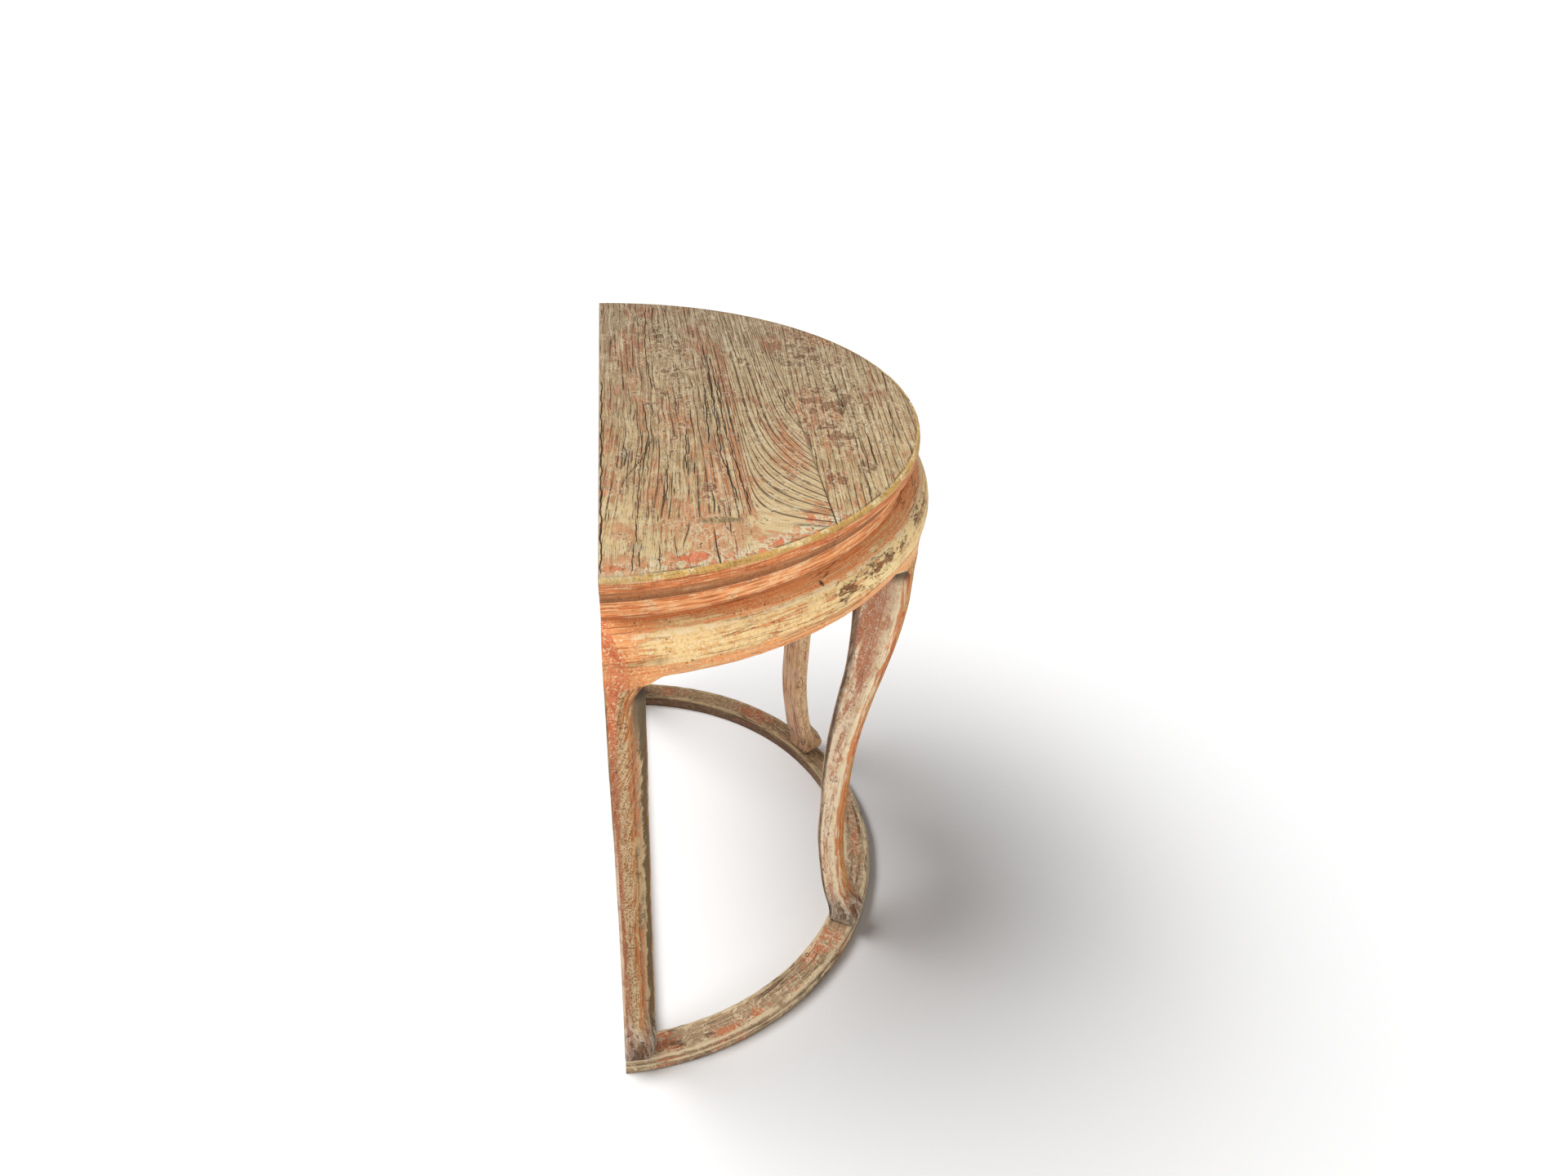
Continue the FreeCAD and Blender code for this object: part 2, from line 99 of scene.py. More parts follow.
class TableSizes(bpy.types.PropertyGroup):
    """Sizes of the worn shapes."""
    top_radius: length("Top radius", "Radius of the half-round top", TOP_RADIUS)
    rim_arris: length("Rim arris", "Radius of the rounded upper edge of the top", 5 * MM)
    rim_face: length("Rim face", "Height of the upright band of the rim", 12 * MM)
    cove_reach: length("Cove reach", "How far the rim's lower half runs in", 13 * MM)
    cove_hollow: length("Cove hollow", "How deep the rim's lower half is hollowed", 4 * MM)
    crack_depth: length("Crack depth", "Depth of the deepest cracks in the top", 2.2 * MM)
    seam_drop: length("Seam drop", "How far the boards' edges have sunk at the seam", 1.0 * MM)
    apron_centre: length("Apron centre", "Radius to the middle of the apron's rounded face", 433 * MM)
    apron_round: length("Apron round", "Radius of the apron's rounded face", 38 * MM)
    apron_inner: length("Apron inner radius", "Radius of the apron's and the waist's inner face", 417 * MM)
    leg_width: length("Leg width", "Width of a leg along the curve", 46 * MM)
    leg_bead: length("Leg bead", "Height of the bead along a leg's outer edges", 0.9 * MM)
    base_width: length("Base width", "Width of the floor ring", 46 * MM)
    wear: length("Wear", "Height of the hand-worked unevenness of rails and legs", 0.9 * MM)


class TableColours(bpy.types.PropertyGroup):
    """Colours of wood, paint and wear, and of a painted shade."""
    bare: colour("Bare top", "Weathered wood of the top", "BA9C72")
    pale: colour("Pale wood", "Sun-bleached wood", "CDB286")
    grey: colour("Grey wood", "Greyed wood", "9A8F7A")
    salmon: colour("Salmon paint", "Thin old paint left on the top", "BF8159")
    coral: colour("Coral paint", "Thicker paint left on the top", "D26A44")
    crack: colour("Cracks", "Dirt in the cracks", "2A221A")
    gilt: colour("Rim gilt", "Golden varnish on the rim's edge", "C99F57")
    orange: colour("Orange paint", "Orange paint of rim and waist", "D5804C")
    cream: colour("Cream ground", "Cream ground under the paint", "EFD399")
    ochre: colour("Ochre", "Yellowed ground", "E0B374")
    brick: colour("Brick paint", "Dusty red paint of the legs", "BE7650")
    scab: colour("Scabs", "Dark crust on the apron", "643619")
    drift: colour("Driftwood", "Grey-brown wood of the floor ring", "A88C6C")
    # The waist's painted shade along its upper and lower edges.
    waist_shade: colour("Waist shade", "Painted shade along the waist's edges", "4A3F33")
    inner: colour("Inner wood", "Unfinished wood inside", "8A6A48")


class Nodes:
    """Adds nodes to a tree and joins them."""

    def __init__(self, tree):
        self.tree = tree
        tree.nodes.clear()

    def add(self, kind, inputs=None, **settings):
        node = self.tree.nodes.new(kind)
        for key, value in settings.items():
            setattr(node, key, value)
        for key, value in (inputs or {}).items():
            socket = node.inputs[key]
            if isinstance(value, bpy.types.NodeSocket):
                self.tree.links.new(value, socket)
            else:
                socket.default_value = value
        return node

    def math(self, operation, first, second=0.0, clamp=False):
        return self.add("ShaderNodeMath", {0: first, 1: second}, operation=operation,
                        use_clamp=clamp).outputs[0]

    def step(self, value, low, high, start=0.0, end=1.0):
        """Rises smoothly from start to end while value goes from low to high."""
        given = {"Value": value, "From Min": low, "From Max": high, "To Min": start, "To Max": end}
        return self.add("ShaderNodeMapRange", given, interpolation_type="SMOOTHSTEP").outputs[0]


class Finish(Nodes):
    """A procedural material, built up in layers."""

    def __init__(self, name):
        self.material = bpy.data.materials.new(name)
        self.material.use_nodes = True
        super().__init__(self.material.node_tree)
        self.grain = self.mark("grain", "Vector")
        self.place = self.add("ShaderNodeTexCoord").outputs["Object"]
        parts = self.add("ShaderNodeSeparateXYZ", {0: self.place}).outputs
        self.along, self.backward, self.height = parts["X"], parts["Y"], parts["Z"]

    def mark(self, name, output="Fac"):
        return self.add("ShaderNodeAttribute", attribute_name=name).outputs[output]

    def noise(self, vector, scale, detail=3.0, rough=0.55, warp=0.0, shift=(0.0, 0.0, 0.0)):
        """Noise from 0 to 1, stretched by a scale per axis."""
        given = {"Vector": vector, "Scale": scale, "Location": shift}
        place = self.add("ShaderNodeMapping", given).outputs[0]
        given = {"Vector": place, "Scale": 1.0, "Detail": detail, "Roughness": rough, "Distortion": warp}
        return self.add("ShaderNodeTexNoise", given).outputs["Fac"]

    def fibre(self, along, across, *settings):
        """Noise drawn out along the grain."""
        return self.noise(self.grain, (along, across, 1), *settings)

    def cloud(self, scale, *settings):
        """Noise that is alike in every direction."""
        return self.noise(self.place, (scale, scale, scale), *settings)

    def spots(self, vector, scale, size, soft=0.06):
        """Scattered dots, 1 in their middle."""
        place = self.add("ShaderNodeMapping", {"Vector": vector, "Scale": scale}).outputs[0]
        away = self.add("ShaderNodeTexVoronoi", {"Vector": place, "Scale": 1.0}).outputs["Distance"]
        return self.step(away, size, size + soft, 1.0, 0.0)

    def veins(self, vector, scale, width, detail=2.0, warp=0.0):
        """Thin wandering lines, 1 on the line."""
        wave = self.noise(vector, scale, detail, 0.5, warp)
        away = self.math("ABSOLUTE", self.math("SUBTRACT", wave, 0.5))
        return self.step(away, width * 0.4, width, 1.0, 0.0)

    def both(self, first, second):
        return self.math("MULTIPLY", first, second, clamp=True)

    def either(self, first, second):
        return self.math("MAXIMUM", first, second)

    def less(self, first, second):
        """First, with second taken away."""
        return self.math("SUBTRACT", first, second, clamp=True)

    def rest(self, mask):
        """What a mask leaves over."""
        return self.math("SUBTRACT", 1.0, mask)

    def within(self, value, low, rise, fall, high):
        """A mask that rises from low to rise and falls again from fall to high."""
        return self.both(self.step(value, low, rise), self.step(value, high, fall))

    def sum(self, *terms):
        """Adds pairs of a value and its weight."""
        total = None
        for value, weight in terms:
            part = self.math("MULTIPLY", value, weight)
            total = part if total is None else self.math("ADD", total, part)
        return total

    def layer(self, at, soft, *terms):
        """A mask that is 1 where the weighted terms add up to more than the level given."""
        return self.step(self.sum(*terms), at - soft, at + soft)

    def mix(self, base, over, mask, blend="MIX"):
        """A colour covered by another where the mask is 1. Colours may be written as six hex digits."""
        tints = [linear(tint) if isinstance(tint, str) else tint for tint in (base, over)]
        return self.add("ShaderNodeMix", {0: mask, 6: tints[0], 7: tints[1]}, data_type="RGBA",
                        blend_type=blend).outputs[2]

    def glaze(self, base, over, mask):
        """The base colour darkened by another, like thin varnish."""
        return self.mix(base, over, mask, "MULTIPLY")

    def coats(self, base, *coats):
        """Covers a colour with others in turn. Each coat is a colour and the masks that limit it."""
        for over, mask, *others in coats:
            for other in others:
                mask = self.both(mask, other)
            base = self.mix(base, over, mask)
        return base

    def coat(self, base, over, *masks):
        return self.coats(base, (over, *masks))

    def close(self, tint, rough, height, depth):
        """Ends the material: colour, roughness and a bump of that depth in metres."""
        bump = self.add("ShaderNodeBump", {"Height": height, "Distance": depth, "Strength": 1.0})
        given = {"Base Color": tint, "Roughness": rough, "Normal": bump.outputs[0]}
        surface = self.add("ShaderNodeBsdfPrincipled", {**given, "Specular IOR Level": GLOSS})
        self.add("ShaderNodeOutputMaterial", {"Surface": surface.outputs[0]})
        return self.material


def top_finish(tints):
    """Weathered boards with paint left in patches, and a gilded, painted rim."""
    f = Finish("top_wood")
    red = f.mark("red")
    coral_at = f.mark("coral")
    worm = f.mark("worm")
    crack = f.mark("crack")
    rim = f.mark("rim")
    broad = f.fibre(2.5, 16, 4)
    blotch = f.noise(f.place, (16, 22, 16), 7, 0.68)
    flake = f.fibre(24, 110, 8, 0.72)
    fine = f.fibre(15, 520, 3, 0.62, 0.4)
    band = f.fibre(6.5, 210, 5, 0.64, 0.5)
    ring_at = f.mark("ring")
    far = f.step(f.along, -0.3, 0.4)
    near = f.step(f.along, -0.2, -0.38)

    # Wood: tan, paler in streaks and greyer in patches. The near end is painted a lighter cream as painted
    # light, and the far end greyer and darker as painted shade with a painted sheen of the sky.
    tint = f.coats(
        tints.bare,
        (tints.pale, f.step(f.sum((broad, 0.6), (fine, 0.4)), 0.44, 0.58)),
        # Painted shade and sky sheen at the far end, painted light at the near end.
        ("937E66", far, 0.75),
        ("D7BF8E", near, 0.62),
        ("D4BA90", f.step(ring_at, 0.5, 0.8), 0.4))
    less_dark = f.both(f.step(near, 0.0, 1.0, 1.0, 0.25), f.step(ring_at, 0.5, 0.9, 1.0, 0.4))
    less_pale = f.step(near, 0.0, 1.0, 0.5, 0.15)
    greyed = f.layer(0.79, 0.05, (blotch, 0.6), (flake, 0.6), (f.mark("grey"), 0.24))
    tint = f.coat(tint, tints.grey, greyed, 0.65)

    # Paint left in flakes along the grain, brightest where it is thick, and painted darker and greyer towards
    # the far end as painted shade and sheen.
    salmon = f.layer(1.385, 0.05, (flake, 1.0), (blotch, 0.6), (broad, 0.5), (red, 0.3), (fine, 0.5))
    tint = f.coat(tint, f.mix(tints.salmon, "A06E50", far), salmon, f.step(near, 0.0, 1.0, 0.88, 0.76))
    chalk = f.noise(f.place, (85, 110, 85), 8, 0.72)
    flecked = f.noise(f.place, (42, 60, 42), 9, 0.7)
    thick = f.sum((flecked, 1.6), (flake, 0.4), (coral_at, 0.36))
    coral = f.step(thick, 1.22, 1.28)
    frayed = f.both(f.within(thick, 1.12, 1.17, 1.21, 1.25), f.step(coral_at, 0.3, 0.6))
    tint = f.coats(
        tint,
        ("E0D6B6", frayed, 0.7),
        (f.mix("CE8A5C", tints.coral, f.step(coral_at, 0.5, 0.9)), coral, 0.8))
    stain = f.both(f.step(f.mark("grey"), 0.9, 1.2), f.step(chalk, 0.34, 0.46))
    tint = f.coat(tint, "82724A", stain, 0.9)

    # Pale and dark streaks, growth rings, pores and specks.
    tint = f.coats(
        tint,
        ("E2D2AC", f.step(band, 0.46, 0.37), less_pale),
        ("765B42", f.step(band, 0.55, 0.64, 0.0, 0.34), less_dark),
        ("DCCBA6", f.step(fine, 0.43, 0.34), less_pale),
        ("60482F", f.step(fine, 0.54, 0.63, 0.0, 0.5), less_dark))
    dash = f.fibre(42, 340, 4, 0.7)
    tint = f.coats(
        tint,
        ("5E4630", f.step(dash, 0.61, 0.66, 0.0, 0.5), less_dark),
        ("6A5440", f.step(f.sum((band, 0.5), (flake, 0.5)), 0.52, 0.58, 0.0, 0.4), far),
        ("C6B698", f.step(f.sum((band, 0.5), (broad, 0.5)), 0.46, 0.40, 0.0, 0.5), far))
    wander = f.fibre(3, 26, 3)
    wave = f.math("SINE", f.sum((f.mark("year"), 2 * math.pi), (wander, 6.0)))
    broken = f.layer(0.58, 0.08, (f.fibre(8, 70, 4), 1.0), (ring_at, 0.24))
    ring = f.both(f.step(wave, 0.78, 0.96), f.both(broken, f.step(ring_at, 0.0, 0.3)))
    third = f.math("ADD", f.sum((f.mark("year"), 2 * math.pi / 3), (wander, 2.0)), math.pi / 3)
    long_line = f.both(f.step(f.math("SINE", third), 0.84, 0.96), f.step(ring_at, 0.5, 0.66))
    ring = f.either(ring, f.both(f.both(long_line, f.step(f.along, -0.2, -0.06)), f.step(broken, 0.0, 0.6)))
    ripple = f.math("SINE", f.sum((f.mark("year"), 4.6 * math.pi), (wander, 15.0)))
    parted = f.layer(0.6, 0.06, (f.fibre(11, 90, 5), 1.0), (ring_at, 0.16))
    tint = f.coat(tint, "5E4630", f.step(ripple, 0.7, 0.96), f.both(parted, 0.6))
    pores = f.step(f.fibre(55, 640, 2), 0.6, 0.68)
    tint = f.coats(
        tint,
        ("46331F", ring, 0.9),
        ("4A3727", pores, 0.7))
    grit = f.cloud(300, 3, 0.65)
    tint = f.coat(tint, "DDCBA4", f.step(grit, 0.6, 0.68), 0.5)

    # Worm-eaten patches and cracks.
    mottled = f.fibre(38, 120, 8, 0.76)
    gnawed_zone = f.step(worm, 0.0, 0.4, 0.45, 1.0)
    tint = f.coats(
        tint,
        ("725540", f.step(mottled, 0.54, 0.61, 0.0, 0.55), gnawed_zone),
        ("DDD0B4", f.step(mottled, 0.45, 0.39, 0.0, 0.55), gnawed_zone))
    clusters = f.spots(f.place, (34, 42, 34), 0.26, 0.3)
    gnawed = f.sum((clusters, 0.3), (f.step(worm, 0.05, 0.5), 0.36), (chalk, 1.5), (flake, 0.6))
    patch = f.step(gnawed, 1.42, 1.54)
    lip = f.within(gnawed, 1.3, 1.38, 1.4, 1.46)
    squiggle = f.veins(f.place, (165, 210, 165), 0.062, 4, 1.5)
    eaten = f.both(squiggle, patch)
    tint = f.coats(
        tint,
        ("E0CFAA", lip, 0.5),
        ("AE8460", patch, 0.22),
        ("5C3826", eaten, 0.75),
        (tints.crack, f.step(crack, 0.2, 0.6, 0.0, 0.92)))

    # The rim: golden edge with painted highlights, orange face, cream where it is chipped, and painted shade
    # that browns and darkens the face's lower part and the cove.
    worn = f.cloud(45, 7, 0.7)
    cross = f.veins(f.grain, (130, 30, 1), 0.04, 3, 0.5)
    gilt_edge = f.both(f.step(f.sum((rim, 1.0), (worn, 0.008)), 0.003, 0.005),
                       f.step(f.sum((rim, 1.0), (worn, 0.010)), 0.0125, 0.0145, 1.0, 0.0))
    face = f.fibre(16, 190, 7, 0.7)
    side = f.coat(tints.orange, "B8683A", f.step(face, 0.48, 0.6))
    streak = f.fibre(14, 420, 6, 0.72)
    side = f.coats(
        side,
        ("F0C89A", f.step(streak, 0.53, 0.59, 0.0, 0.9)),
        ("7E4A2A", f.step(streak, 0.45, 0.39, 0.0, 0.75)),
        (tints.cream, f.layer(1.2, 0.04, (worn, 1.0), (face, 1.0)), 0.85),
        # Painted shade: darker where the face turns in to the cove, darkest deep in the cove.
        ("A8764C", f.step(rim, 0.018, 0.030, 0.0, 0.6)),
        ("7A5034", f.step(rim, 0.034, 0.045, 0.0, 0.65)))
    tint = f.coat(tint, side, f.step(rim, 0.003, 0.007))
    gold = f.coats(
        tints.gilt,
        # Painted highlights in patches on the gilt.
        ("E6CE98", f.step(worn, 0.5, 0.6)),
        ("9A6E34", f.step(face, 0.52, 0.64, 0.0, 0.5)),
        ("6A4A28", cross, f.step(face, 0.5, 0.62, 0.0, 0.6)))
    tint = f.coat(tint, gold, gilt_edge, 0.95)
    line = f.within(rim, -0.004, -0.0025, -0.001, 0.0005)
    tint = f.coats(
        tint,
        ("6A5232", line, f.step(worn, 0.4, 0.55, 0.0, 0.7)),
        ("CDB992", f.mark("chip"), f.step(worn, 0.35, 0.5)))
    lines = f.fibre(2.2, 120, 3, 0.6, 0.15)
    under = f.coat(tints.inner, "5E4630", f.step(lines, 0.45, 0.65))
    tint = f.coat(tint, under, f.step(rim, 0.0462, 0.048))
    sawn = f.noise(f.place, (7, 110, 150), 5, 0.65, 0.2)
    back = f.coat("9C8260", "64503A", f.step(sawn, 0.44, 0.6))
    tint = f.coat(tint, back, f.step(f.backward, BACK - 0.9 * MM, BACK - 0.3 * MM))

    depth = f.sum((fine, 0.5), (ring, -0.5), (salmon, 0.3), (eaten, -0.7), (pores, -0.4), (coral, 0.4),
                  (grit, 0.2), (cross, -0.5))
    rough = f.sum((fine, 0.2), (gilt_edge, -0.25), (blotch, 0.2))
    return f.close(tint, f.math("ADD", rough, 0.6, clamp=True), depth, 0.7 * MM)


def waist_finish(tints):
    """Orange paint with scratches along the curve, and painted shade along its upper and lower edges."""
    f = Finish("waist_paint")
    worn = f.cloud(40, 8, 0.7)
    along = f.fibre(14, 240, 6, 0.7)
    scratch = f.fibre(18, 560, 4, 0.65)
    tint = f.coats(
        "F0AA70",
        ("CE7A48", f.step(along, 0.46, 0.56)),
        ("F2D0A0", f.layer(1.07, 0.04, (scratch, 1.0), (worn, 1.0)), 0.75),
        ("9C7850", f.step(worn, 0.6, 0.68), 0.7))
    # Painted shade along the top, under the rim's overhang, and along the bottom where the waist meets the
    # apron.
    low = f.step(f.height, APRON_HIGH + 1 * MM, APRON_HIGH + 4 * MM, 1.0, 0.0)
    high = f.step(f.height, TOP_LOW - 6 * MM, TOP_LOW - 1 * MM)
    tint = f.coats(
        tint,
        (tints.waist_shade, f.either(low, high), 0.3),
        ("8A5430", f.step(scratch, 0.46, 0.4), 0.65))
    height = f.sum((along, 0.6), (scratch, 0.6), (worn, 0.5))
    return f.close(tint, f.step(worn, 0.3, 0.8, 0.62, 0.85), height, 0.6 * MM)


def apron_layers(f, grain, tints):
    """Cream ground with orange paint left above, below and in streaks: its colour and its relief."""
    big = f.cloud(9, 4, 0.6)
    flake = f.noise(grain, (6, 165, 1), 8, 0.7, 0.35)
    fleck = f.cloud(75, 8, 0.72)
    streak = f.noise(grain, (8, 420, 1), 4, 0.65)
    grit = f.sum((f.cloud(330, 3, 0.65), 0.8), (fleck, 0.2))
    middle = APRON_LOW + 29 * MM
    band = f.within(f.height, middle - 12 * MM, middle + 6 * MM, middle + 24 * MM, middle + 35 * MM)
    bow = f.step(f.along, -0.42, -0.3)
    orange = f.layer(1.16, 0.06, (flake, 1.5), (fleck, 0.5), (big, 0.5), (band, -0.25),
                     (f.mark("ends"), 0.35), (bow, 0.07))

    # Ground: cream and ochre with pale and greenish specks and grey rubbed patches.
    tint = f.coats(
        tints.cream,
        (tints.ochre, f.step(f.sum((streak, 0.5), (fleck, 0.5)), 0.49, 0.57)),
        ("F5EAC8", f.step(grit, 0.55, 0.61), 0.8),
        ("C69E64", f.step(grit, 0.44, 0.39), 0.6),
        # Painted light: the bow, away from the near end, is painted a brighter yellow where less lamp light
        # falls on it.
        ("FFE0A0", bow, 0.3))
    olive = f.cloud(30, 8, 0.7, 0.0, (3, 1, 7))
    tint = f.coat(tint, "AE9A76", f.step(olive, 0.60, 0.64), 0.7)

    # Paint: orange with red streaks, reddest under the waist, thin where it is gritty.
    redder = f.both(f.step(f.height, APRON_HIGH - 16 * MM, APRON_HIGH - 6 * MM), f.step(streak, 0.46, 0.54))
    paint = f.coats(
        "EAA268",
        ("D27A46", f.step(f.sum((streak, 0.6), (fleck, 0.4)), 0.5, 0.58)),
        ("DE7E4A", redder, 0.6),
        ("F2D3A0", f.step(grit, 0.55, 0.61), 0.85))
    tint = f.coat(tint, paint, orange, 0.9)
    scratch = f.step(f.noise(grain, (10, 520, 1), 4, 0.66), 0.57, 0.62)
    tint = f.coat(tint, "F0DCAA", scratch, 0.7)
    hair = f.both(f.veins(grain, (5, 75, 1), 0.014, 3, 0.4), f.step(big, 0.42, 0.55))
    tint = f.coat(tint, "7A4F2C", hair, 0.7)
    # Painted shade: the near end, which the front lamp lights most, is glazed darker.
    tint = f.glaze(tint, "F9F1EC", f.rest(bow))
    return tint, f.sum((orange, 0.6), (streak, 0.35), (grit, 0.35), (hair, -0.5)), fleck


def apron_finish(tints):
    """The painted apron with its dark scabs, pits and nail holes."""
    f = Finish("apron_paint")
    tint, relief, fleck = apron_layers(f, f.grain, tints)
    lip = f.both(f.step(f.mark("edge"), 0.3, 0.8), f.step(fleck, 0.42, 0.52, 0.0, 0.75))
    tint = f.coat(tint, "F0DAAE", lip)
    scab_at = f.mark("scab")
    crust = f.fibre(75, 165, 9, 0.8, 0.5)
    scab = f.both(f.layer(1.56, 0.04, (crust, 2.3), (scab_at, 0.46)), f.step(scab_at, 0.05, 0.15))
    tint = f.coat(tint, f.mix(tints.scab, "94522A", f.step(fleck, 0.46, 0.56)), scab, 0.92)
    pits = f.both(f.spots(f.place, (150, 150, 150), 0.13), f.step(fleck, 0.5, 0.6))
    tint = f.coats(
        tint,
        ("6A4026", pits, 0.85),
        ("2A1C12", f.mark("hole")))
    height = f.sum((relief, 1.0), (scab, 0.7), (pits, -0.8), (f.mark("hole"), -2.0))
    return f.close(tint, f.step(fleck, 0.3, 0.7, 0.55, 0.8), height, 0.6 * MM)


def leg_finish(tints):
    """Painted legs: each side of the section is worn in its own way, and the shoulder matches the apron.

    The mark "turn" runs round the section: 0 in the middle of the outer face, 1 and 2 at the ends of the
    outer chamfer, 3 and 4 at the ends of the inner one, 5 in the middle of the inner face."""
    f = Finish("leg_paint")
    wall = f.mark("wall")
    near_end = f.step(f.along, 0.05, -0.05)
    far_end = f.rest(near_end)
    at_back = f.step(f.mark("ends"), 0.05, 0.2)
    at_front = f.rest(at_back)
    big = f.noise(f.place, (13, 13, 6), 4, 0.6)
    flake = f.fibre(24, 130, 9, 0.74, 0.2)
    fleck = f.noise(f.place, (70, 70, 40), 8, 0.72)
    streak = f.fibre(12, 480, 4, 0.65)
    grit = f.cloud(330, 3, 0.65)
    specks = f.step(f.noise(f.place, (150, 150, 90), 5, 0.7), 0.57, 0.61)
    high = f.step(f.height, 0.44, 0.63)
    stray = f.math("SUBTRACT", f.sum((fleck, 0.9), (flake, 0.8)), 0.85)
    section = f.mark("turn")
    turn = f.sum((section, 1.0), (stray, f.step(at_back, 0.0, 1.0, 1.0, 0.35)))

    brick = f.coats(
        tints.brick,
        ("D0A284", f.step(f.sum((streak, 0.5), (flake, 0.5)), 0.46, 0.56)),
        ("A25C3C", f.step(streak, 0.54, 0.64), 0.6),
        ("E8D6C0", f.step(grit, 0.57, 0.62), 0.8))
    ground = f.coats(
        "EEDCB8",
        ("CCA070", f.step(f.sum((streak, 0.5), (fleck, 0.5)), 0.48, 0.57)),
        ("8E5C36", f.step(grit, 0.48, 0.42), 0.8))

    # Sides: brick red above, rubbed to pinkish cream below.
    pink = f.coats(
        "FBE5C4",
        ("D8AE86", f.step(f.sum((streak, 0.4), (fleck, 0.6)), 0.48, 0.58)),
        ("6E5646", specks, 0.75))
    rubbed = f.layer(1.18, 0.06, (flake, 1.2), (fleck, 0.7), (big, 0.7), (high, -0.52), (f.mark("edge"), 0.3),
                     (f.both(f.step(turn, 2.6, 2.8), at_front), 0.22))
    tint = f.coat(brick, pink, rubbed, 0.9)

    # Inner chamfer and inner face: dusky, with pale and dark patches, sooty along the edge of the front legs.
    dusk = f.coats(
        "E4BA88",
        ("B07A50", f.step(f.sum((flake, 0.6), (fleck, 0.4)), 0.46, 0.56)),
        (brick, f.step(big, 0.48, 0.56), 0.7))
    tint = f.coat(tint, dusk, f.step(turn, 2.92, 3.25, 0.0, 0.75))
    soot = f.both(f.within(section, 2.8, 2.96, 3.3, 3.7), f.both(at_front, near_end))
    tint = f.coat(tint, "5E4A3E", soot, f.step(flake, 0.40, 0.54, 0.5, 0.92))

    # Outer chamfer: cream with salmon patches and dark strokes, greyed along its far edge on the back legs.
    worn_off = f.sum((flake, 1.0), (fleck, 0.7), (big, 1.0))
    salmon = f.step(worn_off, 1.33, 1.41)
    chamfer = f.coats(
        "D4C29C",
        ("E4C89C", at_front),
        ("C2A47C", f.step(f.sum((streak, 0.5), (fleck, 0.5)), 0.5, 0.58), 0.7),
        ("CE8C68", salmon, at_back, 0.85))
    dashes = f.fibre(17, 100, 7, 0.7)
    band = f.both(f.within(turn, 1.05, 1.3, 1.75, 1.98), at_front)
    painted = f.both(band, f.step(dashes, 0.46, 0.5))
    outline = f.both(band, f.within(dashes, 0.41, 0.45, 0.46, 0.49))
    chamfer = f.coats(
        chamfer,
        (f.mix("DA8650", "C0603A", f.step(streak, 0.48, 0.58)), painted, 0.88),
        ("F2E0C2", outline, 0.8))
    smoked = f.both(f.both(f.step(fleck, 0.49, 0.55), f.step(big, 0.52, 0.44)), at_back)
    chamfer = f.coat(chamfer, "857864", smoked, 0.75)
    edging = f.sum((turn, 1.0), (flake, 0.9), (big, 0.5))
    far_edge = f.both(f.step(edging, 2.24, 2.34), at_back)
    chamfer = f.coats(
        chamfer,
        ("DCCCAA", f.step(edging, 2.1, 2.22), at_back, 0.75),
        ("625439", far_edge, 0.9))
    stroke = f.both(f.step(f.noise(f.place, (120, 120, 55), 6, 0.7), 0.6, 0.64), f.step(big, 0.44, 0.54))
    chamfer = f.coat(chamfer, "4A4034", stroke, f.step(at_back, 0.0, 1.0, 0.45, 0.8))
    tint = f.coat(tint, chamfer, f.step(turn, 2.1, 1.9))
    ridge = f.both(f.within(turn, 1.8, 1.98, 2.1, 2.42), at_front)
    tint = f.coat(tint, "F4E0BA", ridge, f.step(fleck, 0.43, 0.53, 0.05, 0.85))

    # Outer face: speckled cream, brick red by the wall, orange-brown at the other edge, then a dark groove.
    outer = f.coat(ground, brick,
                   f.layer(1.05, 0.06, (f.both(turn, wall), 0.6), (flake, 1.0), (fleck, 0.4), (big, 0.3)))
    orange = f.coat("D89A5C", "B8662F", f.step(f.sum((streak, 0.5), (flake, 0.5)), 0.48, 0.56))
    strip = f.layer(1.52, 0.08, (turn, 0.7), (flake, 1.0), (streak, 1.0))
    outer = f.coat(outer, orange, strip, f.rest(wall), 0.85)
    tint = f.coat(tint, outer, f.step(turn, 1.02, 0.98))
    bead = f.within(turn, 0.85, 0.97, 1.02, 1.1)
    tint = f.coat(tint, "DDB878", bead, f.step(fleck, 0.46, 0.56, 0.0, 0.5))
    groove = f.both(f.within(turn, 1.03, 1.1, 1.16, 1.25), at_back)
    tint = f.coat(tint, "8A5C34", groove, f.step(flake, 0.44, 0.54, 0.0, 0.7))
    tint = f.glaze(tint, "E0CFBE", f.both(at_back, f.step(turn, 2.3, 2.0)))
    tint = f.glaze(tint, "E0BE98", f.both(at_front, f.step(turn, 1.5, 1.2)))
    pale_edge = f.both(f.both(wall, f.step(turn, 0.72, 0.88)), f.step(f.height, 0.52, 0.36))
    tint = f.coat(tint, "E6C8AC", pale_edge, f.step(fleck, 0.42, 0.5, 0.2, 0.9))

    # The far legs: dusky red on their inner sides, and glazed browner and darker as painted shade under the
    # top.
    mauve = f.both(f.step(turn, 3.0, 3.3), f.step(flake, 0.42, 0.54, 0.1, 0.75))
    tint = f.coat(tint, f.mix("A06A58", "EAD8CC", f.step(streak, 0.45, 0.53)), mauve, far_end)
    # Painted shade on the far legs.
    tint = f.glaze(tint, "FAEBD9", far_end)
